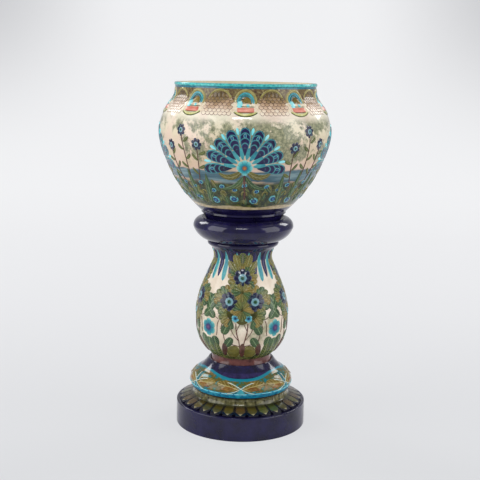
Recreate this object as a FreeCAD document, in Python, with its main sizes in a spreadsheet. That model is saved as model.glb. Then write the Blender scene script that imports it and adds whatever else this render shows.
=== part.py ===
"""A glazed earthenware jardiniere on its stand, modelled piece by piece in millimetres.

The stand is a stack of thrown and moulded sections, luted together: a plinth drum, a ring of
gadroons, a fluted ring, a round base moulding, a foot ring, a baluster stem, a flange and a cap
ring whose recess seats the bowl. The bowl lifts off. Sprigs, moulded apart and luted on, carry
the ornament in low relief. The origin is the middle of the underside, and +Z points up.
"""

import FreeCAD, Part
import math
import os
import Sketcher

# Driving sizes, in millimetres and counts. Levels are measured up from the foot of their section,
# or down from its top where the heading says so.
SIZES = {
    # plinth drum, open below
    "drum_radius": 183.0,
    "drum_height": 65.5,
    "drum_wall": 13.0,
    "drum_edge": 3.0,
    "deck_thickness": 12.0,
    "deck_bore_radius": 112.0,
    # ring of gadroons on the drum's deck
    "gadroon_radius": 174.0,
    "gadroon_lip": 4.5,
    "gadroon_rise": 18.5,
    "gadroon_top_radius": 137.5,
    "gadroon_count": 30,
    "gadroon_gap": 3.2,
    "gadroon_depth": 3.0,
    "gadroon_point": 9.0,
    "gadroon_shoulder": 7.0,
    # fluted ring
    "flute_foot_radius": 138.0,
    "flute_waist_radius": 132.5,
    "flute_top_radius": 133.5,
    "flute_height": 19.5,
    "flute_width": 4.0,
    "flute_depth": 2.2,
    # base moulding, whose top holds the stem's foot ring, its lip measured up from that seat
    "moulding_foot_radius": 136.0,
    "moulding_radius": 145.0,
    "moulding_widest_level": 15.5,
    "moulding_turn_radius": 138.0,
    "moulding_turn_level": 37.0,
    "moulding_bend_radius": 130.0,
    "moulding_bend_level": 46.5,
    "moulding_brow_radius": 116.0,
    "moulding_brow_level": 55.5,
    "moulding_hollow_radius": 103.5,
    "moulding_hollow_level": 68.0,
    "moulding_lip_radius": 92.5,
    "moulding_lip_level": 7.0,
    "moulding_seat_level": 74.5,
    "moulding_wall": 13.0,
    # foot ring of the stem
    "ring_radius": 87.0,
    "ring_waist_radius": 84.0,
    "ring_top_radius": 82.0,
    "ring_height": 24.5,
    "ring_clearance": 0.4,
    # baluster stem
    "stem_foot_radius": 86.6,
    "stem_turn_radius": 95.4,
    "stem_turn_level": 8.5,
    "stem_low_radius": 103.7,
    "stem_low_level": 18.0,
    "stem_flank_radius": 120.7,
    "stem_flank_level": 47.0,
    "stem_widest_radius": 128.2,
    "stem_widest_level": 79.5,
    "stem_swell_radius": 125.5,
    "stem_swell_level": 141.5,
    "stem_taper_radius": 108.4,
    "stem_taper_level": 200.8,
    "stem_top_radius": 95.5,
    "stem_height": 311.0,
    "stem_wall": 13.0,
    # the stem's neck, measured down from its top
    "stem_neck_radius": 82.4,
    "stem_neck_level": 47.7,
    "stem_throat_radius": 81.0,
    "stem_throat_level": 20.0,
    # flange over the stem's neck
    "flange_radius": 99.5,
    "flange_height": 13.0,
    # cap ring, whose recess seats the bowl, its crown measured down from its top
    "cap_foot_radius": 98.5,
    "cap_under_radius": 125.5,
    "cap_under_level": 15.5,
    "cap_radius": 139.5,
    "cap_widest_level": 38.5,
    "cap_crown_radius": 133.0,
    "cap_crown_level": 8.0,
    "cap_crest_radius": 117.0,
    "cap_height": 65.0,
    "cap_wall": 13.0,
    "seat_depth": 19.5,
    "seat_margin": 3.0,
    "seat_bore_radius": 70.0,
    # bowl
    "foot_radius": 97.5,
    "foot_inner_radius": 82.0,
    "foot_recess": 7.0,
    "foot_top_radius": 112.0,
    "foot_height": 29.0,
    "bead_radius": 117.5,
    "bead_level": 33.5,
    "bowl_low_radius": 117.0,
    "bowl_low_level": 38.0,
    "bowl_rise_radius": 151.4,
    "bowl_rise_level": 72.8,
    "bowl_flank_radius": 180.8,
    "bowl_flank_level": 112.0,
    "bowl_swell_radius": 210.6,
    "bowl_swell_level": 167.0,
    "bowl_height": 388.0,
    "bowl_wall": 10.0,
    "bowl_base": 13.0,
    # the bowl's upper half, measured down from the rim
    "bowl_belly_radius": 231.2,
    "bowl_belly_level": 161.8,
    "bowl_widest_radius": 235.0,
    "bowl_widest_level": 130.1,
    "bowl_turn_radius": 230.4,
    "bowl_turn_level": 98.5,
    "bowl_shoulder_radius": 219.0,
    "bowl_shoulder_level": 71.2,
    "bowl_slope_radius": 201.6,
    "bowl_slope_level": 47.3,
    "bowl_throat_level": 37.3,
    "bowl_throat_flare": 3.1,
    "bowl_collar_radius": 192.0,
    "bowl_collar_level": 25.8,
    "lip_depth": 9.0,
    "lip_reach": 2.5,
    # sprigs
    "sprig_bed": 0.4,
    "sprig_relief": 2.2,
    # rim, measured down from the rim: arches, fans, pads, crescents and nets
    "rim_count": 9,
    "rim_level": 48.0,
    "arch_width": 60.0,
    "arch_rise": 38.0,
    "arch_band": 6.0,
    "fan_band": 7.0,
    "pad_width": 44.0,
    "pad_height": 9.5,
    "pad_level": 69.0,
    "crescent_width": 60.0,
    "crescent_drop": 11.0,
    "crescent_level": 72.5,
    "net_width": 52.0,
    "net_height": 46.0,
    "net_level": 75.0,
    # fan-shaped blooms on the bowl's belly, measured down from the rim
    "bloom_count": 4,
    "bloom_level": 212.0,
    "bloom_heart_radius": 22.0,
    "bloom_heart_lobes": 8,
    "bloom_petals": 9,
    "petal_start": 31.0,
    "petal_length": 74.0,
    "petal_width": 25.0,
    "petal_spread": 168.0,
    # blades between the blooms, and roundels below
    "blade_length": 92.0,
    "blade_width": 24.0,
    "blade_level": 74.0,
    "blade_spacing": 31.0,
    "blade_lean": 16.0,
    "roundel_count": 20,
    "roundel_radius": 12.0,
    "roundel_lobes": 6,
    "roundel_level": 84.0,
    # stem: foliage, rosettes, flowers, leaves, buds and spears
    "bouquet_count": 4,
    "foliage_level": 120.0,
    "foliage_radius": 21.0,
    "foliage_width": 76.0,
    "foliage_height": 150.0,
    "rosette_radius": 24.5,
    "rosette_lobes": 7,
    "rosette_spread": 34.5,
    "rosette_low_level": 170.5,
    "rosette_high_level": 232.0,
    "posy_radius": 11.0,
    "posy_lobes": 6,
    "posy_spread": 17.5,
    "posy_level": 127.5,
    "flower_radius": 21.0,
    "flower_petals": 6,
    "flower_level": 94.0,
    "leaf_length": 35.0,
    "leaf_width": 20.0,
    "leaf_level": 62.0,
    "leaf_spread": 33.0,
    "leaf_lean": 12.0,
    "heart_width": 40.0,
    "heart_height": 40.0,
    "heart_level": 12.0,
    "heart_spread": 21.5,
    "bud_width": 14.0,
    "bud_height": 37.0,
    "bud_level": 19.0,
    "bud_spread": 43.0,
    "bud_lean": 6.0,
    # spears down from the stem's top
    "spear_count": 16,
    "spear_length": 78.0,
    "spear_width": 13.0,
    "spear_level": 90.0,
    # base moulding: straps and scrolls
    "strap_count": 3,
    "strap_width": 9.0,
    "scroll_length": 46.0,
    "scroll_width": 17.0,
    "scroll_count": 12,
    "scroll_level": 19.5,
    "scroll_offset": 20.2,
    "scroll_lean": 62.0,
}

SHEET_NAME = "Sizes"
FULL_TURN = 360.0

doc = FreeCAD.newDocument("jardiniere_on_stand")
sheet = doc.addObject("Spreadsheet::Sheet", SHEET_NAME)


class Size:
    """A length or count, with its value and the rule that works it out from the sheet."""

    def __init__(self, value, rule):
        self.value = value
        self.rule = rule

    def __add__(self, other):
        other = as_size(other)
        return Size(self.value + other.value, f"({self.rule} + {other.rule})")

    def __sub__(self, other):
        other = as_size(other)
        return Size(self.value - other.value, f"({self.rule} - {other.rule})")

    def __mul__(self, share):
        share = as_size(share)
        return Size(self.value * share.value, f"({self.rule} * {share.rule})")

    def __truediv__(self, share):
        share = as_size(share)
        return Size(self.value / share.value, f"({self.rule} / {share.rule})")

    def __neg__(self):
        return self * -1.0


def as_size(number):
    """Wraps a plain number as a size."""
    if isinstance(number, Size):
        return number
    return Size(float(number), f"({float(number):.6f})")


def size(name):
    """The driving size of that name."""
    return Size(SIZES[name], f"{SHEET_NAME}.{name}")


def fill_sheet():
    """Writes every driving size into the sheet, with its name as the alias."""
    for row, (name, value) in enumerate(SIZES.items(), start=1):
        sheet.set(f"A{row}", name)
        sheet.set(f"B{row}", str(value))
        sheet.setAlias(f"B{row}", name)
    doc.recompute()


fill_sheet()

# Levels of the stack, from the floor up.
ZERO = as_size(0.0)
AXIS = as_size(0.0)
DRUM_TOP = size("drum_height")
GADROON_TOP = DRUM_TOP + size("gadroon_rise")
FLUTE_TOP = GADROON_TOP + size("flute_height")
STEM_SEAT = FLUTE_TOP + size("moulding_seat_level")
RING_TOP = STEM_SEAT + size("ring_height")
STEM_TOP = RING_TOP + size("stem_height")
FLANGE_TOP = STEM_TOP + size("flange_height")
CAP_TOP = FLANGE_TOP + size("cap_height")
BOWL_SEAT = CAP_TOP - size("seat_depth")
RIM = BOWL_SEAT + size("bowl_height")

# How far out the sprigs' prisms run, past every wall.
FRONT_REACH = size("bowl_widest_radius") + size("stem_widest_radius")

# Stations of the round walls, in order from the bottom: a knot, then a point on the arc, and so on.
STEM_STATIONS = ("turn", "low", "flank", "widest", "swell", "taper")
BOWL_LOW_STATIONS = ("rise", "flank", "swell")
BOWL_HIGH_STATIONS = ("belly", "widest", "turn", "shoulder", "slope")
MOULDING_STATIONS = ("turn", "bend", "brow")

# How far up a leaf it is widest, as a share of its length.
PETAL_FULLNESS = 0.6
BLADE_FULLNESS = 0.45
LEAF_FULLNESS = 0.5
BUD_FULLNESS = 0.4
SPEAR_FULLNESS = 0.35

# How far out a flower's notches lie, as a share of its radius.
SHALLOW_LOBES = 0.85
ROUND_LOBES = 0.8
DEEP_LOBES = 0.72

# A leafy cluster's line up one side: bulges and notches, as shares of a lobe outside the half width
# and of the height, and the dip of its foot as a share of a lobe.
CLUSTER_BULGES = ((0.2, 0.14), (0.3, 0.42))
CLUSTER_NOTCHES = ((-0.6, 0.3), (-0.9, 0.55))
CLUSTER_SHOULDER = (-0.69, 0.78)
CLUSTER_DIP = 0.45


def origin_part(body, role):
    """The plane or axis with that role in the body's own origin."""
    return next(item for item in body.Origin.OriginFeatures if item.Role == role)


def new_body(label):
    """An empty body with its label."""
    body = doc.addObject("PartDesign::Body", label)
    body.Label = label
    body.AllowCompound = True
    return body


def new_sketch(body, name, role="XZ_Plane"):
    """A sketch on one of the body's origin planes."""
    sketch = body.newObject("Sketcher::SketchObject", name)
    sketch.AttachmentSupport = [(origin_part(body, role), "")]
    sketch.MapMode = "FlatFace"
    return sketch


def vector(point):
    """A point of the sketch as a vector."""
    return FreeCAD.Vector(point[0].value, point[1].value, 0.0)


def bind_point(sketch, geometry, end, point):
    """Holds a point of the sketch at sizes taken from the sheet."""
    for kind, axis, coordinate in (("DistanceX", -2, point[0]), ("DistanceY", -1, point[1])):
        if coordinate is ZERO:
            sketch.addConstraint(Sketcher.Constraint("PointOnObject", geometry, end, axis))
            continue
        index = sketch.addConstraint(Sketcher.Constraint(kind, -1, 1, geometry, end, coordinate.value))
        sketch.setExpression(f"Constraints[{index}]", coordinate.rule)


def turns_left(first, through, last):
    """Whether an arc through three points runs anticlockwise, the way that a sketch keeps it."""
    across = through[0].value - first[0].value, through[1].value - first[1].value
    onward = last[0].value - through[0].value, last[1].value - through[1].value
    return across[0] * onward[1] - across[1] * onward[0] > 0.0


def draw_edge(sketch, corner, step):
    """Draws one line or arc from a corner, and gives it with its first and its last end."""
    end = step[-1]
    if len(step) == 1:
        return sketch.addGeometry(Part.LineSegment(vector(corner), vector(end))), 1, 2
    edge = sketch.addGeometry(Part.Arc(vector(corner), vector(step[0]), vector(end)))
    through = sketch.addGeometry(Part.Point(vector(step[0])), True)
    bind_point(sketch, through, 1, step[0])
    sketch.addConstraint(Sketcher.Constraint("PointOnObject", through, 1, edge))
    if turns_left(corner, step[0], end):
        return edge, 1, 2
    return edge, 2, 1


def draw_loop(sketch, start, steps):
    """Draws a closed loop of lines and arcs.

    Each step is the next corner, or a point on an arc and the corner where the arc ends.
    """
    closing = [] if steps[-1][-1] is start else [[start]]
    ends = []
    corner = start
    for step in [*steps, *closing]:
        edge, first, last = draw_edge(sketch, corner, step)
        bind_point(sketch, edge, first, corner)
        ends.append((edge, first, last))
        corner = step[-1]
    for (edge, _, last), (following, first, _) in zip(ends, ends[1:] + ends[:1]):
        sketch.addConstraint(Sketcher.Constraint("Coincident", edge, last, following, first))


def revolve(body, name, sketch, kind="Revolution"):
    """Turns the sketch about the vertical axis into a full ring, or with Groove cuts that ring out."""
    ring = body.newObject(f"PartDesign::{kind}", name)
    ring.Profile = sketch
    ring.ReferenceAxis = (sketch, ["V_Axis"])
    ring.Angle = FULL_TURN
    body.Tip = ring
    return ring


def turned_section(label, start, steps):
    """A section thrown on the wheel: one loop turned about the vertical axis."""
    body = new_body(label)
    sketch = new_sketch(body, f"{label}_outline")
    draw_loop(sketch, start, steps)
    revolve(body, f"{label}_turn", sketch)
    return body


def repeat_features(body, name, features, count):
    """Repeats features evenly around the vertical axis."""
    pattern = body.newObject("PartDesign::PolarPattern", name)
    pattern.Originals = features
    pattern.Axis = (origin_part(body, "Z_Axis"), [""])
    pattern.Angle = FULL_TURN
    pattern.setExpression("Occurrences", count.rule)
    body.Tip = pattern
    return pattern


def repeat_whole(body, name, count):
    """Repeats the whole shape evenly around the vertical axis."""
    pattern = body.newObject("PartDesign::PolarPattern", name)
    pattern.TransformMode = "Whole shape"
    pattern.Axis = (origin_part(body, "Z_Axis"), [""])
    pattern.Angle = FULL_TURN
    pattern.setExpression("Occurrences", count.rule)
    body.Tip = pattern
    return pattern


# Sections of the stand


def plinth_drum():
    """The drum that stands on the floor: a wall, and a deck with a round hole."""
    radius = size("drum_radius")
    inside = radius - size("drum_wall")
    edge = size("drum_edge")
    bend = edge * (1.0 - math.sqrt(0.5))
    deck_under = DRUM_TOP - size("deck_thickness")
    start = (inside, ZERO)
    return turned_section("plinth_drum", start, [
        [(radius, ZERO)],
        [(radius, DRUM_TOP - edge)],
        [(radius - bend, DRUM_TOP - bend), (radius - edge, DRUM_TOP)],
        [(size("deck_bore_radius"), DRUM_TOP)],
        [(size("deck_bore_radius"), deck_under)],
        [(inside, deck_under)],
    ])


def gadroon_ring():
    """The sloping ring on the deck, cut into tongues with pointed tips."""
    bore = size("deck_bore_radius")
    tip = size("gadroon_radius")
    lip_top = DRUM_TOP + size("gadroon_lip")
    slope_top = size("gadroon_top_radius")
    start = (bore, DRUM_TOP)
    body = turned_section("gadroon_ring", start, [
        [(tip, DRUM_TOP)],
        [(tip, lip_top)],
        [(slope_top, GADROON_TOP)],
        [(bore, GADROON_TOP)],
    ])
    depth = size("gadroon_depth")
    above = GADROON_TOP + depth
    outside = tip + depth
    channel = new_sketch(body, "channel_outline")
    corner = (slope_top, GADROON_TOP)
    draw_loop(channel, corner, [
        [(tip, lip_top - depth)],
        [(outside, lip_top - depth)],
        [(outside, above)],
        [(slope_top, above)],
    ])
    channel_cut = body.newObject("PartDesign::Pocket", "channel_cut")
    channel_cut.Profile = channel
    channel_cut.Midplane = True
    channel_cut.setExpression("Length", size("gadroon_gap").rule)
    notch = new_sketch(body, "notch_outline", "XY_Plane")
    half_gap = size("gadroon_shoulder")
    apex = (tip - size("gadroon_point"), ZERO)
    draw_loop(notch, apex, [
        [(outside, -half_gap)],
        [(outside, half_gap)],
    ])
    notch_cut = body.newObject("PartDesign::Pocket", "notch_cut")
    notch_cut.Profile = notch
    notch_cut.Reversed = True
    notch_cut.setExpression("Length", (lip_top + depth).rule)
    repeat_features(body, "gadroons", [channel_cut, notch_cut], size("gadroon_count"))
    return body


def fluted_ring():
    """The short hollowed ring under the moulding, with upright flutes."""
    bore = size("deck_bore_radius")
    middle = GADROON_TOP + size("flute_height") / 2.0
    foot = size("flute_foot_radius")
    start = (bore, GADROON_TOP)
    body = turned_section("fluted_ring", start, [
        [(foot, GADROON_TOP)],
        [(size("flute_waist_radius"), middle), (size("flute_top_radius"), FLUTE_TOP)],
        [(bore, FLUTE_TOP)],
    ])
    depth = size("flute_depth")
    flute = new_sketch(body, "flute_outline")
    inner = size("flute_waist_radius") - depth
    corner = (inner, middle)
    draw_loop(flute, corner, [
        [(foot, GADROON_TOP + depth)],
        [(foot + depth, middle)],
        [(foot, FLUTE_TOP - depth)],
    ])
    flute_cut = body.newObject("PartDesign::Pocket", "flute_cut")
    flute_cut.Profile = flute
    flute_cut.Midplane = True
    flute_cut.setExpression("Length", size("flute_width").rule)
    repeat_features(body, "flutes", [flute_cut], size("gadroon_count"))
    return body


def moulding_wall(offset):
    """The outside of the base moulding from foot to brow, moved out by an offset."""
    base = FLUTE_TOP
    points = [(size("moulding_radius") + offset, base + size("moulding_widest_level"))]
    for station in MOULDING_STATIONS:
        radius = size(f"moulding_{station}_radius") + offset
        points.append((radius, base + size(f"moulding_{station}_level")))
    return (size("moulding_foot_radius") + offset, base), points


def base_moulding():
    """The big round moulding, hollow beneath, with a seat for the foot ring in its top."""
    wall = size("moulding_wall")
    foot, points = moulding_wall(ZERO)
    lip = STEM_SEAT + size("moulding_lip_level")
    bore = size("ring_top_radius") - wall
    seat_under = STEM_SEAT - wall
    brow = size("moulding_brow_radius") - wall
    start = (foot[0] - wall, FLUTE_TOP)
    body = turned_section("base_moulding", start, [
        [foot],
        [points[0], points[1]],
        [points[2], points[3]],
        [(size("moulding_hollow_radius"), FLUTE_TOP + size("moulding_hollow_level")),
         (size("moulding_lip_radius"), lip)],
        [(bore, lip)],
        [(bore, seat_under)],
        [(brow - wall, seat_under)],
        [(size("moulding_turn_radius") - wall, FLUTE_TOP + size("moulding_turn_level"))],
        [(size("moulding_radius") - wall, FLUTE_TOP + size("moulding_widest_level")), start],
    ])
    recess = new_sketch(body, "seat_outline")
    seat_edge = size("ring_radius") + size("ring_clearance")
    middle = (ZERO, STEM_SEAT)
    draw_loop(recess, middle, [
        [(seat_edge, STEM_SEAT)],
        [(seat_edge, lip + wall)],
        [(ZERO, lip + wall)],
    ])
    revolve(body, "seat_cut", recess, "Groove")
    return body


def foot_ring():
    """The plain ring between the moulding and the stem."""
    wall = size("stem_wall")
    bore = size("ring_top_radius") - wall
    start = (bore, STEM_SEAT)
    return turned_section("foot_ring", start, [
        [(size("ring_radius"), STEM_SEAT)],
        [(size("ring_waist_radius"), STEM_SEAT + size("ring_height") / 2.0),
         (size("ring_top_radius"), RING_TOP)],
        [(bore, RING_TOP)],
    ])


def stem_points(offset):
    """Stations of the stem's outside, moved out by an offset."""
    foot = (size("stem_foot_radius") + offset, RING_TOP)
    points = []
    for station in STEM_STATIONS:
        radius = size(f"stem_{station}_radius") + offset
        points.append((radius, RING_TOP + size(f"stem_{station}_level")))
    neck = (size("stem_neck_radius") + offset, STEM_TOP - size("stem_neck_level"))
    throat = (size("stem_throat_radius") + offset, STEM_TOP - size("stem_throat_level"))
    top = (size("stem_top_radius") + offset, STEM_TOP)
    return foot, points, neck, throat, top


def stem_up(offset):
    """Steps up the stem's outside."""
    foot, points, neck, throat, top = stem_points(offset)
    steps = [[points[0], points[1]], [points[2], points[3]], [points[4], points[5]], [neck], [throat, top]]
    return foot, steps


def stem_down(offset, end):
    """Steps down the same line, back to an end point."""
    foot, points, neck, throat, top = stem_points(offset)
    return [[top], [throat, neck], [points[5]], [points[4], points[3]], [points[2], points[1]], [points[0], end]]


def baluster_stem():
    """The hollow baluster, whose foot opens as wide as the ring that it stands on."""
    inward = -size("stem_wall")
    start, steps = stem_up(ZERO)
    inner_foot = (size("ring_top_radius") + inward, RING_TOP)
    return turned_section("baluster_stem", start, steps + stem_down(inward, inner_foot))


def neck_flange():
    """The rounded flange over the stem's neck."""
    bore = size("stem_top_radius") - size("stem_wall")
    top = size("stem_top_radius")
    start = (bore, STEM_TOP)
    return turned_section("neck_flange", start, [
        [(top, STEM_TOP)],
        [(size("flange_radius"), STEM_TOP + size("flange_height") / 2.0), (top, FLANGE_TOP)],
        [(bore, FLANGE_TOP)],
    ])


def cap_ring():
    """The heavy round ring with the recess that seats the bowl, hollow towards the stem."""
    wall = size("cap_wall")
    bore = size("stem_top_radius") - size("stem_wall")
    seat_edge = size("foot_radius") + size("seat_margin")
    floor_under = BOWL_SEAT - wall
    base_top = FLANGE_TOP + wall
    widest = (size("cap_radius"), FLANGE_TOP + size("cap_widest_level"))
    start = (bore, FLANGE_TOP)
    return turned_section("cap_ring", start, [
        [(size("cap_foot_radius"), FLANGE_TOP)],
        [(size("cap_under_radius"), FLANGE_TOP + size("cap_under_level")), widest],
        [(size("cap_crown_radius"), CAP_TOP - size("cap_crown_level")), (size("cap_crest_radius"), CAP_TOP)],
        [(seat_edge, BOWL_SEAT)],
        [(size("seat_bore_radius"), BOWL_SEAT)],
        [(size("seat_bore_radius"), floor_under)],
        [(size("cap_crest_radius"), floor_under)],
        [(size("cap_under_radius") - wall, base_top)],
        [(bore, base_top)],
    ])


# The bowl


def bowl_points(offset):
    """Stations of the bowl's outside above its bead, moved out by an offset."""
    low = (size("bowl_low_radius") + offset, BOWL_SEAT + size("bowl_low_level"))
    points = []
    for station in BOWL_LOW_STATIONS:
        radius = size(f"bowl_{station}_radius") + offset
        points.append((radius, BOWL_SEAT + size(f"bowl_{station}_level")))
    for station in BOWL_HIGH_STATIONS:
        radius = size(f"bowl_{station}_radius") + offset
        points.append((radius, RIM - size(f"bowl_{station}_level")))
    collar = size("bowl_collar_radius") + offset
    points.append((collar + size("bowl_throat_flare"), RIM - size("bowl_throat_level")))
    points.append((collar, RIM - size("bowl_collar_level")))
    return low, points


def bowl_up(offset):
    """Steps up the bowl's outside, an arc between every second station."""
    low, points = bowl_points(offset)
    steps = [[points[index], points[index + 1]] for index in range(0, len(points), 2)]
    return low, steps


def bowl_down(offset, end):
    """Steps down the same line, back to an end point."""
    _, points = bowl_points(offset)
    steps = [[points[-1]]]
    for index in range(len(points) - 2, 1, -2):
        steps.append([points[index], points[index - 1]])
    steps.append([points[0], end])
    return steps


def bowl():
    """The jardiniere: a wide belly, a straight collar with a rolled lip, and a recessed foot."""
    wall = size("bowl_wall")
    low, wall_steps = bowl_up(ZERO)
    lip_under = RIM - size("lip_depth")
    lip_middle = RIM - size("lip_depth") / 2.0
    collar = size("bowl_collar_radius")
    under = BOWL_SEAT + size("foot_recess")
    floor = under + size("bowl_base")
    inner_low = (size("bowl_low_radius") - wall, BOWL_SEAT + size("bowl_low_level"))
    bead = (size("bead_radius"), BOWL_SEAT + size("bead_level"))
    start = (ZERO, under)
    return turned_section("bowl", start, [
        [(size("foot_inner_radius"), under)],
        [(size("foot_inner_radius"), BOWL_SEAT)],
        [(size("foot_radius"), BOWL_SEAT)],
        [(size("foot_top_radius"), BOWL_SEAT + size("foot_height"))],
        [bead],
        [low],
        *wall_steps,
        [(collar, lip_under)],
        [(collar + size("lip_reach"), lip_middle), (collar, RIM)],
        [(collar - wall, RIM)],
        *bowl_down(-wall, inner_low),
        [(size("foot_radius") - wall, floor)],
        [(ZERO, floor)],
    ])


# Relief: sprigs cut from a skin that follows the wall they are luted to


def skin(label, wall, lift, relief):
    """A skin over a wall, from a lift above it and as thick as the relief.

    The lift may be under zero, where a sprig is bedded into the wall.
    """
    outer_start, outer_steps, inner_steps = wall(lift + relief, lift)
    body = new_body(f"{label}_skin")
    sketch = new_sketch(body, f"{label}_skin_outline")
    draw_loop(sketch, outer_start, outer_steps + inner_steps)
    revolve(body, f"{label}_skin_turn", sketch)
    return body


def stem_skin(outer, inner):
    """Both faces of a skin on the stem."""
    start, steps = stem_up(outer)
    inner_foot = (size("stem_foot_radius") + inner, RING_TOP)
    return start, steps, stem_down(inner, inner_foot)


def bowl_skin(outer, inner):
    """Both faces of a skin on the bowl, from its low edge to under the lip."""
    low, steps = bowl_up(outer)
    lip_under = RIM - size("lip_depth")
    inner_low = (size("bowl_low_radius") + inner, BOWL_SEAT + size("bowl_low_level"))
    up = steps + [[(size("bowl_collar_radius") + outer, lip_under)]]
    down = [[(size("bowl_collar_radius") + inner, lip_under)]] + bowl_down(inner, inner_low)
    return low, up, down


def moulding_skin(outer, inner):
    """Both faces of a skin on the base moulding."""
    foot, points = moulding_wall(outer)
    inner_foot, inner_points = moulding_wall(inner)
    up = [[points[0], points[1]], [points[2], points[3]]]
    down = [[inner_points[3]], [inner_points[2], inner_points[1]], [inner_points[0], inner_foot]]
    return foot, up, down


def sprigs(label, wall, loops, count, azimuth=0.0, lift=None, relief=None):
    """A group of equal sprigs around the axis, the first facing the front, turned by an azimuth.

    Each loop is a start and its steps, in the plane seen from the front.
    """
    lift = -size("sprig_bed") if lift is None else lift
    relief = size("sprig_relief") + size("sprig_bed") if relief is None else relief
    body = new_body(label)
    sketch = new_sketch(body, f"{label}_outline")
    for start, steps in loops:
        draw_loop(sketch, start, steps)
    prism = body.newObject("PartDesign::Pad", f"{label}_prism")
    prism.Profile = sketch
    prism.setExpression("Length", FRONT_REACH.rule)
    trim = body.newObject("PartDesign::Boolean", f"{label}_trim")
    trim.setObjects([skin(label, wall, lift, relief)])
    trim.Type = "Common"
    body.Tip = trim
    doc.recompute()
    repeat_whole(body, f"{label}_around", count)
    body.Placement = FreeCAD.Placement(
        FreeCAD.Vector(), FreeCAD.Rotation(FreeCAD.Vector(0.0, 0.0, 1.0), azimuth))
    return body


def polar(centre, reach, degrees):
    """The point at a reach from a centre, at an angle from straight up, clockwise."""
    angle = math.radians(degrees)
    return (centre[0] + reach * math.sin(angle), centre[1] + reach * math.cos(angle))


def blossom(centre, radius, lobes, depth=DEEP_LOBES):
    """A round flower with lobes: an arc for each, and a notch between two."""
    turn = FULL_TURN / lobes
    notches = [polar(centre, radius * depth, turn * (index - 0.5)) for index in range(lobes)]
    steps = []
    for index in range(lobes):
        following = notches[(index + 1) % lobes]
        steps.append([polar(centre, radius, turn * index), following])
    return notches[0], steps


def leaf(base, length, width, lean, fullness=LEAF_FULLNESS):
    """A pointed leaf of two arcs, leaning from straight up by some degrees."""
    tip = polar(base, length, lean)
    middle = polar(base, length * fullness, lean)
    start = base
    return start, [
        [polar(middle, width / 2.0, lean + 90.0), tip],
        [polar(middle, width / 2.0, lean - 90.0), start],
    ]


def ring_band(centre, width, rise, band):
    """An arch: a band that springs from a level line, wider or taller than a half circle."""
    outer = width / 2.0
    inner = outer - band
    start = (centre[0] - outer, centre[1])
    crown = (centre[0], centre[1] + rise)
    return start, [
        [crown, (centre[0] + outer, centre[1])],
        [(centre[0] + inner, centre[1])],
        [(centre[0], crown[1] - band), (centre[0] - inner, centre[1])],
    ]


def cluster(centre, width, height, knob):
    """A leafy cluster: a triangle of lobes that narrows towards its top."""
    half = width / 2.0
    low = centre[1]

    def at(side, outset, rise):
        """A point on one side, by its share of a lobe outside the half width and of the height."""
        return centre[0] + (half + knob * outset) * side, low + height * rise

    peak = (centre[0], low + height)
    start = at(-1.0, -1.0, 0.0)
    right = [[at(1.0, *bulge), at(1.0, *end)] for bulge, end in zip(CLUSTER_BULGES, CLUSTER_NOTCHES)]
    left = [[at(-1.0, *bulge), at(-1.0, *end)]
            for bulge, end in zip(CLUSTER_BULGES[::-1], CLUSTER_NOTCHES[-2::-1])]
    return start, [
        [(centre[0], low - knob * CLUSTER_DIP), at(1.0, -1.0, 0.0)],
        *right,
        [at(1.0, *CLUSTER_SHOULDER), peak],
        [at(-1.0, *CLUSTER_SHOULDER), at(-1.0, *CLUSTER_NOTCHES[-1])],
        *left,
        [at(-1.0, *CLUSTER_BULGES[0]), start],
    ]


def rim_relief():
    """Arches, fans, pads, crescents and nets under the lip, nine of each."""
    count = size("rim_count")
    middle = (AXIS, RIM - size("rim_level"))
    arch = size("arch_band")
    fan_width = size("arch_width") - arch * 2.0
    half_pad = size("pad_width") / 2.0
    pad_low = RIM - size("pad_level")
    pad_top = pad_low + size("pad_height")
    half_crescent = size("crescent_width") / 2.0
    horn = RIM - size("crescent_level")
    drop = size("crescent_drop")
    half_net = size("net_width") / 2.0
    net_low = RIM - size("net_level")
    half_turn = FULL_TURN / (2.0 * SIZES["rim_count"])
    pad_start = (-half_pad, pad_low)
    horn_start = (-half_crescent, horn)
    net_start = (-half_net, net_low)
    net_top = net_low + size("net_height")
    pad = (pad_start, [[(half_pad, pad_low)], [(half_pad, pad_top)], [(-half_pad, pad_top)]])
    crescent = (horn_start, [
        [(AXIS, horn - drop), (half_crescent, horn)],
        [(AXIS, horn - drop / 2.0), horn_start],
    ])
    net = (net_start, [
        [(half_net, net_low)],
        [(AXIS, net_top), net_start],
    ])
    return [
        sprigs("rim_arches", bowl_skin, [ring_band(middle, size("arch_width"), size("arch_rise"), arch)], count),
        sprigs("rim_fans", bowl_skin,
               [ring_band(middle, fan_width, size("arch_rise") - arch, size("fan_band"))], count),
        sprigs("rim_pads", bowl_skin, [pad], count),
        sprigs("rim_crescents", bowl_skin, [crescent], count),
        sprigs("rim_nets", bowl_skin, [net], count, half_turn),
    ]


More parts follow.
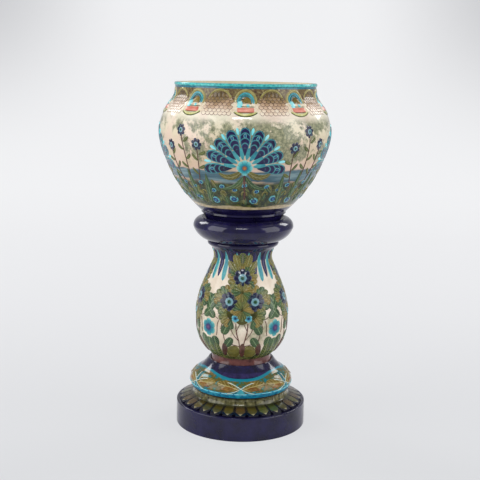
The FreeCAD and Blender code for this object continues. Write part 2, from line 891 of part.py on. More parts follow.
def belly_relief():
    """Fan-shaped blooms on the belly, with blades between them and roundels below."""
    count = size("bloom_count")
    heart = (AXIS, RIM - size("bloom_level"))
    petals = SIZES["bloom_petals"]
    step = SIZES["petal_spread"] / (petals - 1)
    fan = []
    for index in range(petals):
        lean = step * index - SIZES["petal_spread"] / 2.0
        base = polar(heart, size("petal_start"), lean)
        fan.append(leaf(base, size("petal_length"), size("petal_width"), lean, PETAL_FULLNESS))
    blades = []
    blade_foot = BOWL_SEAT + size("blade_level")
    for side in (-1.0, 0.0, 1.0):
        base = (size("blade_spacing") * side, blade_foot)
        lean = SIZES["blade_lean"] * side
        blades.append(leaf(base, size("blade_length"), size("blade_width"), lean, BLADE_FULLNESS))
    roundel_middle = (AXIS, BOWL_SEAT + size("roundel_level"))
    between = FULL_TURN / (2.0 * SIZES["bloom_count"])
    return [
        sprigs("bloom_petals", bowl_skin, fan, count),
        sprigs("bloom_hearts", bowl_skin,
               [blossom(heart, size("bloom_heart_radius"), SIZES["bloom_heart_lobes"], SHALLOW_LOBES)], count),
        sprigs("belly_blades", bowl_skin, blades, count, between),
        sprigs("belly_roundels", bowl_skin,
               [blossom(roundel_middle, size("roundel_radius"), SIZES["roundel_lobes"], SHALLOW_LOBES)],
               size("roundel_count"), FULL_TURN / (2.0 * SIZES["roundel_count"])),
    ]


def stem_relief():
    """Bouquets, flowers, leaves, buds and spears on the stem."""
    count = size("bouquet_count")
    between = FULL_TURN / (2.0 * SIZES["bouquet_count"])
    relief = size("sprig_relief")
    foliage_foot = (AXIS, RING_TOP + size("foliage_level"))
    low = RING_TOP + size("rosette_low_level")
    spread = size("rosette_spread")
    rosette_middles = [
        (AXIS, RING_TOP + size("rosette_high_level")),
        (-spread, low),
        (spread, low),
    ]
    posy_level = RING_TOP + size("posy_level")
    posy_middles = [(-size("posy_spread"), posy_level), (size("posy_spread"), posy_level)]
    lobes = SIZES["rosette_lobes"]
    on_foliage = relief - size("sprig_bed")
    flower = (AXIS, RING_TOP + size("flower_level"))
    leaves = []
    buds = []
    hearts = []
    for side in (-1.0, 1.0):
        leaf_base = (size("leaf_spread") * side, RING_TOP + size("leaf_level"))
        leaves.append(leaf(leaf_base, size("leaf_length"), size("leaf_width"), SIZES["leaf_lean"] * side))
        bud_base = (size("bud_spread") * side, RING_TOP + size("bud_level"))
        buds.append(leaf(bud_base, size("bud_height"), size("bud_width"), SIZES["bud_lean"] * side, BUD_FULLNESS))
        heart_base = (size("heart_spread") * side, RING_TOP + size("heart_level"))
        hearts.append(leaf(heart_base, size("heart_height"), size("heart_width"), 0.0))
    spear_base = (AXIS, STEM_TOP - size("spear_level"))
    half_step = FULL_TURN / (2.0 * SIZES["spear_count"])
    return [
        sprigs("bouquet_foliage", stem_skin,
               [cluster(foliage_foot, size("foliage_width"), size("foliage_height"), size("foliage_radius"))], count),
        sprigs("stem_rosettes", stem_skin,
               [blossom(middle, size("rosette_radius"), lobes, ROUND_LOBES) for middle in rosette_middles],
               count, lift=on_foliage),
        sprigs("stem_posies", stem_skin,
               [blossom(middle, size("posy_radius"), SIZES["posy_lobes"], ROUND_LOBES) for middle in posy_middles],
               count, lift=on_foliage),
        sprigs("stem_flowers", stem_skin,
               [blossom(flower, size("flower_radius"), SIZES["flower_petals"])], count, between),
        sprigs("stem_leaves", stem_skin, leaves, count),
        sprigs("stem_hearts", stem_skin, hearts, count),
        sprigs("stem_buds", stem_skin, buds, count),
        sprigs("stem_spears", stem_skin,
               [leaf(spear_base, size("spear_length"), size("spear_width"), 0.0, SPEAR_FULLNESS)],
               size("spear_count"), half_step),
    ]


def base_relief():
    """Straps and leaf scrolls on the base moulding."""
    low = FLUTE_TOP + size("moulding_widest_level")
    half = size("strap_width") / 2.0
    top = FLUTE_TOP + size("moulding_brow_level")
    start = (-half, low)
    strap = (start, [[(half, low)], [(half, top)], [(-half, top)]])
    scroll_base = (-size("scroll_offset"), FLUTE_TOP + size("scroll_level"))
    scroll = leaf(scroll_base, size("scroll_length"), size("scroll_width"), SIZES["scroll_lean"])
    half_strap = FULL_TURN / (2.0 * SIZES["strap_count"])
    half_scroll = FULL_TURN / (2.0 * SIZES["scroll_count"])
    return [
        sprigs("base_straps", moulding_skin, [strap], size("strap_count"), half_strap),
        sprigs("base_scrolls", moulding_skin, [scroll], size("scroll_count"), half_scroll),
    ]


def check_and_export(parts):
    """Stops on a failed object or a bad solid, and writes one file for each sub-part."""
    doc.recompute()
    for item in doc.Objects:
        if "Invalid" in item.State or "Error" in item.State:
            raise RuntimeError(f"{item.Label} failed: {item.State}")
    os.makedirs("parts", exist_ok=True)
    for part in parts:
        shape = part.Shape
        if shape.isNull() or not shape.isValid() or not shape.Solids:
            raise RuntimeError(f"{part.Label} has no valid solid")
        shape.exportStep(f"parts/{part.Label}.step")
        print(f"{part.Label}: {len(shape.Solids)} solids, {shape.Volume:.0f} mm3, "
              f"z {shape.BoundBox.ZMin:.1f} to {shape.BoundBox.ZMax:.1f}")


check_and_export([
    plinth_drum(),
    gadroon_ring(),
    fluted_ring(),
    base_moulding(),
    foot_ring(),
    baluster_stem(),
    neck_flange(),
    cap_ring(),
    bowl(),
    *rim_relief(),
    *belly_relief(),
    *stem_relief(),
    *base_relief(),
])
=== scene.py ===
"""Looks of a glazed jardiniere on its stand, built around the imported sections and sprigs.

The wheel-thrown sections stay as the frame gives them and get painted grounds. The sprigs are
replaced by fuller relief laid on the same walls, at the same places.
"""

import logging
import math
from bisect import bisect_left
from dataclasses import dataclass, field
from enum import Enum
from random import Random
from typing import Callable, Protocol, Sequence

import bmesh
import bpy
from mathutils import Matrix, Vector
from mathutils.bvhtree import BVHTree


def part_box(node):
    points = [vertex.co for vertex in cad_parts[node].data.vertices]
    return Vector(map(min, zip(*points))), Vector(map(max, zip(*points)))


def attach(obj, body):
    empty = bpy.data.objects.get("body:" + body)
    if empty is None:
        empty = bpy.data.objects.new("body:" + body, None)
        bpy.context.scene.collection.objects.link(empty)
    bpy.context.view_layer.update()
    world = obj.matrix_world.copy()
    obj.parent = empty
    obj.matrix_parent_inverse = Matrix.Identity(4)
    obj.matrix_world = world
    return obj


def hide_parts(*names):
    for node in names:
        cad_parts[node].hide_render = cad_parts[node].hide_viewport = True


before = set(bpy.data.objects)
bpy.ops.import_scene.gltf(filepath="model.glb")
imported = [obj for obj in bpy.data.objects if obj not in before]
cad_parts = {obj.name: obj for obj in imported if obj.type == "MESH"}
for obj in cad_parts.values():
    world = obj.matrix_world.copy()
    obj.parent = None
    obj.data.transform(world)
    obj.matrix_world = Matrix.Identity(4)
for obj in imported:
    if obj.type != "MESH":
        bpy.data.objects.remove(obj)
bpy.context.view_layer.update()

logging.basicConfig(level=logging.INFO, format="%(message)s")
log = logging.getLogger("jardiniere")

MM = 0.001
FULL_TURN = 360.0
BED = 0.35
Point = tuple[float, float]
Point3 = tuple[float, float, float]
Colour = tuple[float, float, float]
Socket = bpy.types.NodeSocket


def srgb(red: float, green: float, blue: float) -> Colour:
    """Turns a colour written in 0 to 255 screen values into linear light.

    Args:
        red: Red on the screen.
        green: Green on the screen.
        blue: Blue on the screen.

    Returns:
        The three linear values.
    """
    return tuple(((value / 255.0 + 0.055) / 1.055) ** 2.4 for value in (red, green, blue))


# Node graphs and finishes


@dataclass
class Graph:
    """A material's node tree, with short ways to add nodes to it."""

    name: str
    material: bpy.types.Material = field(init=False)

    def __post_init__(self) -> None:
        """Starts an empty node tree."""
        self.material = bpy.data.materials.new(self.name)
        self.material.use_nodes = True
        self.material.node_tree.nodes.clear()
        self.place = self.add("TexCoord").outputs["Object"]

    def add(self, kind: str, inputs: dict | None = None, **settings) -> bpy.types.Node:
        """Adds a node.

        Args:
            kind: The node's type, without its ShaderNode prefix.
            inputs: Values or sockets for the inputs, by name or number.
            **settings: Properties of the node.

        Returns:
            The node.
        """
        node = self.material.node_tree.nodes.new(f"ShaderNode{kind}")
        for name, value in settings.items():
            setattr(node, name, value)
        for key, value in (inputs or {}).items():
            self.feed(node.inputs[key], value)
        return node

    def feed(self, socket: Socket, value) -> None:
        """Links a socket into an input, or sets its value."""
        if isinstance(value, Socket):
            self.material.node_tree.links.new(value, socket)
        elif isinstance(value, tuple) and len(value) == 3 and socket.type == "RGBA":
            socket.default_value = (*value, 1.0)
        else:
            socket.default_value = value

    def math(self, operation: str, *values) -> Socket:
        """The result of a Math node."""
        return self.add("Math", dict(enumerate(values)), operation=operation).outputs[0]

    def mix(self, share, first, second) -> Socket:
        """A colour between two, by a share from 0 to 1."""
        node = self.add("Mix", data_type="RGBA")
        self.feed(node.inputs[0], share)
        self.feed(node.inputs[6], first)
        self.feed(node.inputs[7], second)
        return node.outputs[2]

    def ramp(self, value, stops: Sequence[tuple[float, Colour]], kind: str = "LINEAR") -> Socket:
        """A colour that runs through stops as the value goes from 0 to 1."""
        node = self.add("ValToRGB", {0: value})
        node.color_ramp.interpolation = kind
        elements = node.color_ramp.elements
        while len(elements) < len(stops):
            elements.new(0.5)
        for element, (position, colour) in zip(elements, stops):
            element.position = position
            element.color = (*colour, 1.0)
        return node.outputs[0]

    def step(self, value, low: float, high: float) -> Socket:
        """Rises smoothly from 0 at low to 1 at high, or falls where low is the greater."""
        ends = {0: value, 1: low, 2: high, 3: 0.0, 4: 1.0}
        if low > high:
            ends = {0: value, 1: high, 2: low, 3: 1.0, 4: 0.0}
        return self.add("MapRange", ends, interpolation_type="SMOOTHSTEP").outputs[0]

    def both(self, *masks) -> Socket:
        """The product of masks."""
        product = masks[0]
        for mask in masks[1:]:
            product = self.math("MULTIPLY", product, mask)
        return product

    def noise(self, scale: float, detail: float = 3.0, rough: float = 0.5, stretch: Point3 = (1.0, 1.0, 1.0)) -> Socket:
        """Smooth noise on object coordinates, stretched by a factor along each axis."""
        place = self.place
        if stretch != (1.0, 1.0, 1.0):
            place = self.add("Mapping", {"Vector": place, "Scale": stretch}).outputs[0]
        return self.add("TexNoise", {"Vector": place, "Scale": scale, "Detail": detail, "Roughness": rough}).outputs[0]

    def fact(self, name: str) -> Socket:
        """A number that each point of the mesh carries."""
        return self.add("Attribute", attribute_name=name).outputs["Fac"]

    def across(self) -> tuple[Socket, Socket]:
        """The motif's own place across and along, from its UV map."""
        parts = self.add("SeparateXYZ", {0: self.add("UVMap", uv_map="motif").outputs[0]})
        return parts.outputs[0], parts.outputs[1]

    def round(self) -> tuple[Socket, Socket, Socket]:
        """Azimuth in radians from the front, radius and level in millimetres."""
        parts = self.add("SeparateXYZ", {0: self.place}).outputs
        azimuth = self.math("ARCTAN2", parts[0], self.math("MULTIPLY", parts[1], -1.0))
        flat = self.add("CombineXYZ", {0: parts[0], 1: parts[1], 2: 0.0}).outputs[0]
        radius = self.add("VectorMath", {0: flat}, operation="LENGTH").outputs["Value"]
        return azimuth, self.math("MULTIPLY", radius, 1.0 / MM), self.math("MULTIPLY", parts[2], 1.0 / MM)

    def shift(self, value, scale: float, reach: float) -> Socket:
        """A value moved up and down by noise, for an edge drawn by hand."""
        wobble = self.math("MULTIPLY", self.math("SUBTRACT", self.noise(scale, 2.0), 0.5), 2.0 * reach)
        return self.math("ADD", value, wobble)

    def waves(self, azimuth, count: float, power: float, turn: float = 0.0) -> Socket:
        """Bumps from 0 to 1 evenly around the axis, sharper with a higher power."""
        angle = self.math("MULTIPLY", self.math("SUBTRACT", azimuth, math.radians(turn)), count)
        return self.math("POWER", self.math("MAXIMUM", self.math("COSINE", angle), 0.0), power)

    def glaze(self, colour: Socket, roughness: float, wave: float = 1.0) -> bpy.types.Material:
        """Adds the glossy surface with its slight waves, pits and fine crazing to a colour.

        Args:
            colour: The colour socket.
            roughness: Surface roughness.
            wave: Depth of the surface's waves, as a share of the usual.

        Returns:
            The finished material.
        """
        crackle = self.add("TexVoronoi", {"Vector": self.place, "Scale": 120.0}, feature="DISTANCE_TO_EDGE").outputs[0]
        lines = self.math("MULTIPLY", self.step(crackle, 0.03, 0.0), 0.13)
        colour = self.mix(lines, colour, (0.07, 0.05, 0.035))
        height = self.math("ADD", self.noise(52.0, 2.0), self.math("MULTIPLY", self.noise(480.0, 1.0), 0.06))
        bump = self.add("Bump", {"Strength": 0.4, "Distance": 0.0013 * wave, "Height": height})
        rough = self.math("ADD", self.math("MULTIPLY", self.noise(70.0, 2.0), 0.10), roughness - 0.05)
        shader = self.add("BsdfPrincipled", {
            "Base Color": colour, "Roughness": rough, "Normal": bump.outputs[0], "IOR": 1.5, "Specular IOR Level": 0.2,
            "Coat Weight": 0.5, "Coat Roughness": 0.05, "Coat IOR": 1.5})
        self.add("OutputMaterial", {0: shader.outputs[0]})
        return self.material


class Finish(Protocol):
    """Anything that makes its material."""

    name: str

    def material(self) -> bpy.types.Material:
        """The material, made once."""


MADE: dict[str, bpy.types.Material] = {}


def made_once(make: Callable) -> Callable:
    """Keeps a finish's material, so that pieces share it."""

    def material(self) -> bpy.types.Material:
        if self.name not in MADE:
            MADE[self.name] = make(self)
        return MADE[self.name]

    return material


@dataclass(frozen=True)
class Glaze:
    """A lead glaze over clay: it pools dark in the hollows and thins pale on the ridges.

    Attributes:
        name: The material's name.
        pooled: Colour where it lies thick.
        body: The colour over most of the surface.
        thin: Colour where it thins over a ridge.
        cloud: Scale of the cloudy patches.
        roughness: Surface roughness.
    """

    name: str
    pooled: Colour
    body: Colour
    thin: Colour
    cloud: float = 60.0
    roughness: float = 0.14

    def colour(self, graph: Graph) -> Socket:
        """The cloudy colour, darker low on the relief and paler on its crest."""
        cloud = graph.noise(self.cloud, 4.0, 0.6)
        crest = graph.fact("crest")
        shade = graph.fact("shade")
        value = graph.math("ADD", graph.math("MULTIPLY", cloud, 0.45), graph.math("MULTIPLY", crest, 0.14))
        value = graph.math("ADD", value, graph.math("MULTIPLY", shade, 0.10))
        return graph.ramp(value, [(0.12, self.pooled), (0.30, self.body), (0.56, self.thin)])

    @made_once
    def material(self) -> bpy.types.Material:
        """The plain glaze."""
        graph = Graph(self.name)
        return graph.glaze(self.colour(graph), self.roughness)


@dataclass(frozen=True)
class LinedGlaze:
    """A glaze inside a raised outline of another colour.

    Attributes:
        name: The material's name.
        inner: Glaze of the field.
        line: Colour of the outline.
        start: Where the outline begins, from 0 in the middle to 1 at the edge.
        scales: Rows of scale-like arcs drawn along the field, none where 0.
    """

    name: str
    inner: Glaze
    line: Colour
    start: float = 0.70
    scales: float = 0.0

    @made_once
    def material(self) -> bpy.types.Material:
        """The field, its arcs and its outline."""
        graph = Graph(self.name)
        colour = self.inner.colour(graph)
        u, v = graph.across()
        side = graph.math("ABSOLUTE", graph.math("SUBTRACT", graph.math("MULTIPLY", u, 2.0), 1.0))
        if self.scales:
            bow = graph.math("MULTIPLY", graph.math("POWER", side, 2.0), 0.9)
            rows = graph.math("FRACT", graph.math("ADD", graph.math("MULTIPLY", v, self.scales), bow))
            arc = graph.both(graph.step(rows, 0.62, 0.72), graph.step(rows, 0.97, 0.86), graph.step(v, 0.25, 0.4))
            colour = graph.mix(graph.math("MULTIPLY", arc, 0.85), colour, self.line)
        edge = graph.step(side, self.start, self.start + 0.08)
        colour = graph.mix(edge, colour, self.line)
        return graph.glaze(colour, self.inner.roughness)


@dataclass(frozen=True)
class VeinedGlaze:
    """A leaf's glaze, with a pale midrib and side veins.

    Attributes:
        name: The material's name.
        inner: Glaze of the leaf.
        vein: Colour of the veins.
        veins: How many side veins there are.
    """

    name: str
    inner: Glaze
    vein: Colour
    veins: float = 7.0

    @made_once
    def material(self) -> bpy.types.Material:
        """The leaf and its veins."""
        graph = Graph(self.name)
        u, v = graph.across()
        side = graph.math("ABSOLUTE", graph.math("SUBTRACT", graph.math("MULTIPLY", u, 2.0), 1.0))
        rows = graph.math("FRACT", graph.math("SUBTRACT", graph.math("MULTIPLY", v, self.veins),
                                              graph.math("MULTIPLY", side, 1.3)))
        veins = graph.math("MULTIPLY", graph.both(graph.step(rows, 0.0, 0.2), graph.step(rows, 0.5, 0.3)), 0.5)
        rib = graph.step(side, 0.16, 0.06)
        edge = graph.math("MULTIPLY", graph.step(side, 0.82, 0.96), 0.5)
        mask = graph.math("MAXIMUM", graph.math("MAXIMUM", veins, rib), edge)
        return graph.glaze(graph.mix(mask, self.inner.colour(graph), self.vein), self.inner.roughness)


@dataclass(frozen=True)
class FlowerGlaze:
    """Rings of colour from a flower's middle to the tips of its petals.

    Attributes:
        name: The material's name.
        stops: Shares of the radius and their colours, from the middle out.
        lobes: How many petals there are.
    """

    name: str
    stops: tuple[tuple[float, Colour], ...]
    lobes: float = 7.0

    @made_once
    def material(self) -> bpy.types.Material:
        """The rings, broken by petal lines."""
        graph = Graph(self.name)
        u, v = graph.across()
        colour = graph.ramp(graph.shift(v, 320.0, 0.03), self.stops)
        turn = graph.math("FRACT", graph.math("ADD", graph.math("MULTIPLY", u, self.lobes), 0.5))
        gap = graph.math("ABSOLUTE", graph.math("SUBTRACT", turn, 0.5))
        dark = graph.both(graph.step(gap, 0.40, 0.49), graph.step(v, 0.45, 0.6), 0.6)
        colour = graph.mix(dark, colour, (0.006, 0.006, 0.015))
        cloud = graph.math("MULTIPLY", graph.step(graph.noise(150.0, 3.0), 0.45, 0.75), 0.22)
        return graph.glaze(graph.mix(cloud, colour, self.stops[len(self.stops) // 2][1]), 0.13)


NAVY = Glaze("navy_lead_glaze", srgb(11, 9, 32), srgb(29, 25, 70), srgb(46, 41, 100), 22.0, 0.11)
INDIGO = Glaze("indigo_lead_glaze", srgb(7, 6, 26), srgb(17, 15, 56), srgb(36, 34, 94))
TURQUOISE = Glaze("turquoise_lead_glaze", srgb(6, 74, 98), srgb(20, 126, 146), srgb(92, 186, 186))
TEAL = Glaze("teal_lead_glaze", srgb(8, 58, 76), srgb(22, 104, 118), srgb(70, 152, 152))
CYAN = Glaze("cyan_lead_glaze", srgb(50, 178, 198), srgb(96, 218, 228), srgb(196, 244, 244))
OLIVE = Glaze("olive_lead_glaze", srgb(34, 38, 9), srgb(80, 78, 26), srgb(138, 128, 64))
REED = Glaze("reed_lead_glaze", srgb(72, 70, 22), srgb(132, 122, 56), srgb(190, 178, 118))
MOSS = Glaze("moss_lead_glaze", srgb(20, 34, 11), srgb(52, 68, 24), srgb(106, 114, 54))
LEAF = Glaze("leaf_lead_glaze", srgb(9, 26, 14), srgb(24, 54, 30), srgb(68, 100, 58))
OCHRE = Glaze("ochre_lead_glaze", srgb(54, 40, 12), srgb(100, 82, 28), srgb(150, 128, 62))
AMBER = Glaze("amber_lead_glaze", srgb(66, 32, 10), srgb(112, 66, 22), srgb(164, 116, 54))
BROWN = Glaze("brown_lead_glaze", srgb(70, 34, 34), srgb(120, 72, 66), srgb(172, 128, 118))
MAROON = Glaze("maroon_lead_glaze", srgb(34, 18, 18), srgb(70, 40, 34), srgb(116, 78, 62))
CREAM = Glaze("cream_lead_glaze", srgb(206, 188, 150), srgb(232, 220, 192), srgb(248, 242, 226))
CORAL = Glaze("coral_lead_glaze", srgb(168, 66, 54), srgb(214, 112, 94), srgb(238, 172, 150))
CITRON = Glaze("citron_lead_glaze", srgb(120, 118, 44), srgb(196, 194, 110), srgb(240, 236, 196))

VEINED_LEAF = VeinedGlaze("veined_leaf_glaze", LEAF, srgb(112, 136, 92))
VEINED_OLIVE = VeinedGlaze("veined_olive_glaze", OLIVE, srgb(152, 146, 92))
VEINED_MOSS = VeinedGlaze("veined_moss_glaze", MOSS, srgb(138, 142, 86))
VEINED_OCHRE = VeinedGlaze("veined_ochre_glaze", OCHRE, srgb(166, 150, 88))
PETAL = LinedGlaze("petal_glaze", INDIGO, srgb(66, 146, 152), 0.74, 6.0)
SPEAR = LinedGlaze("spear_glaze", TURQUOISE, srgb(150, 214, 206), 0.74)
LINED_OLIVE = LinedGlaze("lined_olive_glaze", OLIVE, srgb(196, 186, 128), 0.80)
LINED_REED = LinedGlaze("lined_reed_glaze", REED, srgb(204, 192, 140), 0.80)
LINED_TEAL = LinedGlaze("lined_teal_glaze", TURQUOISE, srgb(150, 216, 214), 0.80)
ROSETTE = FlowerGlaze("rosette_glaze", (
    (0.0, srgb(20, 54, 30)), (0.17, srgb(38, 84, 50)), (0.21, srgb(104, 148, 158)), (0.38, srgb(130, 170, 180)),
    (0.44, srgb(18, 16, 58)), (0.80, srgb(14, 12, 48)), (0.96, srgb(40, 36, 92))), 8.0)
FLOWER = FlowerGlaze("flower_glaze", (
    (0.0, srgb(112, 66, 104)), (0.22, srgb(58, 40, 96)), (0.36, srgb(36, 48, 104)), (0.44, srgb(22, 108, 136)),
    (0.72, srgb(44, 142, 152)), (0.95, srgb(112, 182, 176))), 6.0)
POSY = FlowerGlaze("posy_glaze", (
    (0.0, srgb(8, 22, 44)), (0.26, srgb(14, 56, 86)), (0.40, srgb(40, 132, 168)), (0.95, srgb(126, 196, 196))), 6.0)
HEART = FlowerGlaze("heart_glaze", (
    (0.0, srgb(196, 120, 60)), (0.20, srgb(150, 84, 40)), (0.30, srgb(22, 96, 116)), (0.60, srgb(46, 164, 176)),
    (0.95, srgb(140, 212, 206))), 8.0)
ROUNDEL = FlowerGlaze("roundel_glaze", (
    (0.0, srgb(60, 150, 180)), (0.30, srgb(26, 74, 130)), (0.58, srgb(20, 40, 90)), (0.70, srgb(120, 196, 204)),
    (0.95, srgb(70, 140, 140))), 6.0)


# The walls and the relief on them


class Body(Enum):
    """The bodies that pieces ride on."""

    STAND = "stand"
    BOWL = "jardiniere"


class Wall:
    """The outside of a round section, on which relief is laid."""

    STEP = 0.0015

    def __init__(self, node: str, body: Body) -> None:
        """Reads the wall's line from the frame.

        Args:
            node: Name of the CAD node.
            body: The body that it rides on.
        """
        self.body = body
        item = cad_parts[node]
        tree = BVHTree.FromObject(item, bpy.context.evaluated_depsgraph_get())
        low, high = (corner.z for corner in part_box(node))
        self.levels: list[float] = []
        self.radii: list[float] = []
        count = int((high - low) / self.STEP)
        for index in range(count):
            level = low + self.STEP * (index + 0.5)
            hit = tree.ray_cast(Vector((0.0, -1.0, level)), Vector((0.0, 1.0, 0.0)))[0]
            if hit is not None and hit.y < 0.0:
                self.levels.append(level)
                self.radii.append(-hit.y)

    def radius(self, level: float) -> float:
        """The wall's radius at a level, in metres."""
        index = min(max(bisect_left(self.levels, level), 1), len(self.levels) - 1)
        low, high = self.levels[index - 1], self.levels[index]
        share = min(max((level - low) / (high - low), 0.0), 1.0)
        return self.radii[index - 1] + (self.radii[index] - self.radii[index - 1]) * share

    def point(self, azimuth: float, across: float, level: float, lift: float) -> Vector:
        """A point over the wall.

        Args:
            azimuth: Degrees from the front, towards +X.
            across: Metres to the side of that azimuth, seen square on.
            level: Height over the floor in metres.
            lift: Distance out from the wall in metres.

        Returns:
            The point.
        """
        radius = self.radius(level)
        slope = (self.radius(level + 2.0 * self.STEP) - self.radius(level - 2.0 * self.STEP)) / (4.0 * self.STEP)
        out = 1.0 / math.hypot(1.0, slope)
        angle = math.radians(azimuth) + math.asin(min(max(across / radius, -1.0), 1.0))
        reach = radius + lift * out
        return Vector((reach * math.sin(angle), -reach * math.cos(angle), level - lift * slope * out))


class Section(Enum):
    """Cross-sections of relief: places across, and the height at each."""

    DOME = ((0.0, 0.10, 0.28, 0.5, 0.72, 0.90, 1.0), (0.0, 0.60, 0.92, 1.0, 0.92, 0.60, 0.0))
    DISHED = ((0.0, 0.05, 0.12, 0.20, 0.35, 0.5, 0.65, 0.80, 0.88, 0.95, 1.0),
              (0.0, 0.80, 1.0, 0.66, 0.52, 0.50, 0.52, 0.66, 1.0, 0.80, 0.0))
    RIBBED = ((0.0, 0.08, 0.25, 0.42, 0.5, 0.58, 0.75, 0.92, 1.0),
              (0.0, 0.66, 0.88, 0.58, 1.0, 0.58, 0.88, 0.66, 0.0))
    LINE = ((0.0, 0.25, 0.5, 0.75, 1.0), (0.0, 0.85, 1.0, 0.85, 0.0))


class Taper(Enum):
    """How wide a stroke is along its length, as a function of the share of the length."""

    LEAF = (0.72, 0.62)
    BLADE = (0.45, 0.85)
    PETAL = (1.10, 0.50)
    ROUND = (0.50, 0.50)
    LINE = (0.0, 0.35)
    EVEN = (0.0, 0.0)

    def width(self, share: float) -> float:
        """The width at a share of the length, 1 at its widest."""
        rise, fall = self.value
        if rise + fall == 0.0:
            return 1.0
        peak = rise / (rise + fall)
        most = (peak ** rise) * ((1.0 - peak) ** fall)
        return (share ** rise) * ((1.0 - share) ** fall) / most


@dataclass(frozen=True)
class Spot:
    """Where a motif lies on its wall.

    Attributes:
        azimuth: Degrees from the front, towards +X.
        level: Height of the motif's own zero, in millimetres.
        across: Sideways place of the zero, in millimetres, seen square on.
        lean: Degrees that it is turned clockwise.
        size: Factor on its sizes.
        side: 1, or -1 for its mirror image.
        lift: Millimetres that it stands over the wall, as where it lies on other relief.
    """

    azimuth: float
    level: float
    across: float = 0.0
    lean: float = 0.0
    size: float = 1.0
    side: float = 1.0
    lift: float = 0.0

    def turned(self, x: float, z: float) -> Point:
        """A motif's point, turned and moved to its place, in millimetres."""
        x, z = x * self.size * self.side, z * self.size
        angle = math.radians(self.lean * self.side)
        return (self.across * self.side + x * math.cos(angle) + z * math.sin(angle),
                self.level - x * math.sin(angle) + z * math.cos(angle))


@dataclass(frozen=True)
class Stroke:
    """A leaf, petal or line: a bent spine with a width along it.

    Attributes:
        spine: Four control points of the spine, in millimetres.
        width: Its greatest width.
        taper: How the width runs along it.
        section: Its cross-section.
        rise: How far it stands proud, in millimetres.
        along: Faces along its length.
    """

    spine: tuple[Point, Point, Point, Point]
    width: float
    taper: Taper = Taper.LEAF
    section: Section = Section.DOME
    rise: float = 2.0
    along: int = 10

    def centre(self, share: float) -> Point:
        """A point of the spine."""
        rest = 1.0 - share
        weights = (rest ** 3, 3.0 * rest * rest * share, 3.0 * rest * share * share, share ** 3)
        return tuple(sum(w * p[axis] for w, p in zip(weights, self.spine)) for axis in (0, 1))

    def at(self, u: float, v: float) -> Point:
        """A point of the surface, by its shares across and along."""
        x, z = self.centre(v)
        ahead, behind = self.centre(min(v + 0.02, 1.0)), self.centre(max(v - 0.02, 0.0))
        dx, dz = ahead[0] - behind[0], ahead[1] - behind[1]
        length = math.hypot(dx, dz) or 1.0
        offset = (u - 0.5) * self.width * self.taper.width(v)
        return x + dz / length * offset, z - dx / length * offset

    def height(self, u: float, v: float) -> float:
        """The height there as a share of the rise, low at both ends."""
        ends = min(v / 0.10, (1.0 - v) / 0.08, 1.0)
        return math.sqrt(max(ends, 0.0))


@dataclass(frozen=True)
class Band:
    """A piece of a ring: an arch, a crescent's line or a half disc.

    Attributes:
        centre: The ring's middle, in millimetres.
        inner: Inner radius.
        outer: Outer radius.
        start: Degrees from straight up where it begins.
        end: Degrees from straight up where it ends.
        section: Its cross-section.
        rise: How far it stands proud, in millimetres.
        along: Faces along its length.
        stretch: Its height over its width.
    """

    centre: Point
    inner: float
    outer: float
    start: float
    end: float
    section: Section = Section.DOME
    rise: float = 2.0
    along: int = 16
    stretch: float = 1.0

    def at(self, u: float, v: float) -> Point:
        """A point of the surface, by its shares across and along."""
        angle = math.radians(self.start + (self.end - self.start) * v)
        reach = self.outer + (self.inner - self.outer) * u
        return self.centre[0] + reach * math.sin(angle), self.centre[1] + reach * math.cos(angle) * self.stretch

    def height(self, u: float, v: float) -> float:
        """The height there as a share of the rise, low at both ends."""
        return math.sqrt(max(min(v / 0.06, (1.0 - v) / 0.06, 1.0), 0.0))


RINGS = (0.0, 0.10, 0.22, 0.32, 0.48, 0.66, 0.84, 0.95, 1.0)
FEW_RINGS = (0.0, 0.45, 0.78, 0.92, 1.0)


@dataclass(frozen=True)
class Disc:
    """A round motif with lobes, such as a flower, a boss or a drop.

    Attributes:
        radius: Its radius in millimetres.
        lobes: How many lobes it has, none where 0.
        depth: How deep the notches between them are, as a share of the radius.
        stretch: Its height over its width.
        rise: How far it stands proud, in millimetres.
        boss: Height of a raised middle, as a share of the rise.
        tilt: How much more the lower edge stands out than the upper, as on a scale.
        around: Faces around it.
        rings: Shares of the radius where its rings of points lie.
    """

    radius: float
    lobes: int = 0
    depth: float = 0.2
    stretch: float = 1.0
    rise: float = 2.2
    boss: float = 0.0
    tilt: float = 0.0
    around: int = 28
    rings: tuple[float, ...] = RINGS

    def at(self, u: float, v: float) -> Point:
        """A point of the surface, by its share of the turn and of the radius."""
        angle = 2.0 * math.pi * u
        reach = self.radius * v
        if self.lobes:
            reach *= 1.0 - self.depth * (1.0 - math.sqrt(abs(math.cos(angle * self.lobes / 2.0)))) * v
        return -reach * math.sin(angle), -reach * math.cos(angle) * self.stretch

    def height(self, u: float, v: float) -> float:
        """The height there as a share of the rise."""
        dome = math.sqrt(max(1.0 - v ** 3, 0.0))
        if self.lobes:
            dome *= 0.72 + 0.28 * abs(math.cos(math.pi * u * self.lobes)) if v > 0.3 else 1.0
        if self.tilt:
            dome *= 1.0 - self.tilt + self.tilt * math.cos(2.0 * math.pi * u) * v
        if self.boss:
            dome = dome * 0.75 + (self.boss * math.cos(v / 0.3 * math.pi / 2.0) if v < 0.3 else 0.0)
        return dome


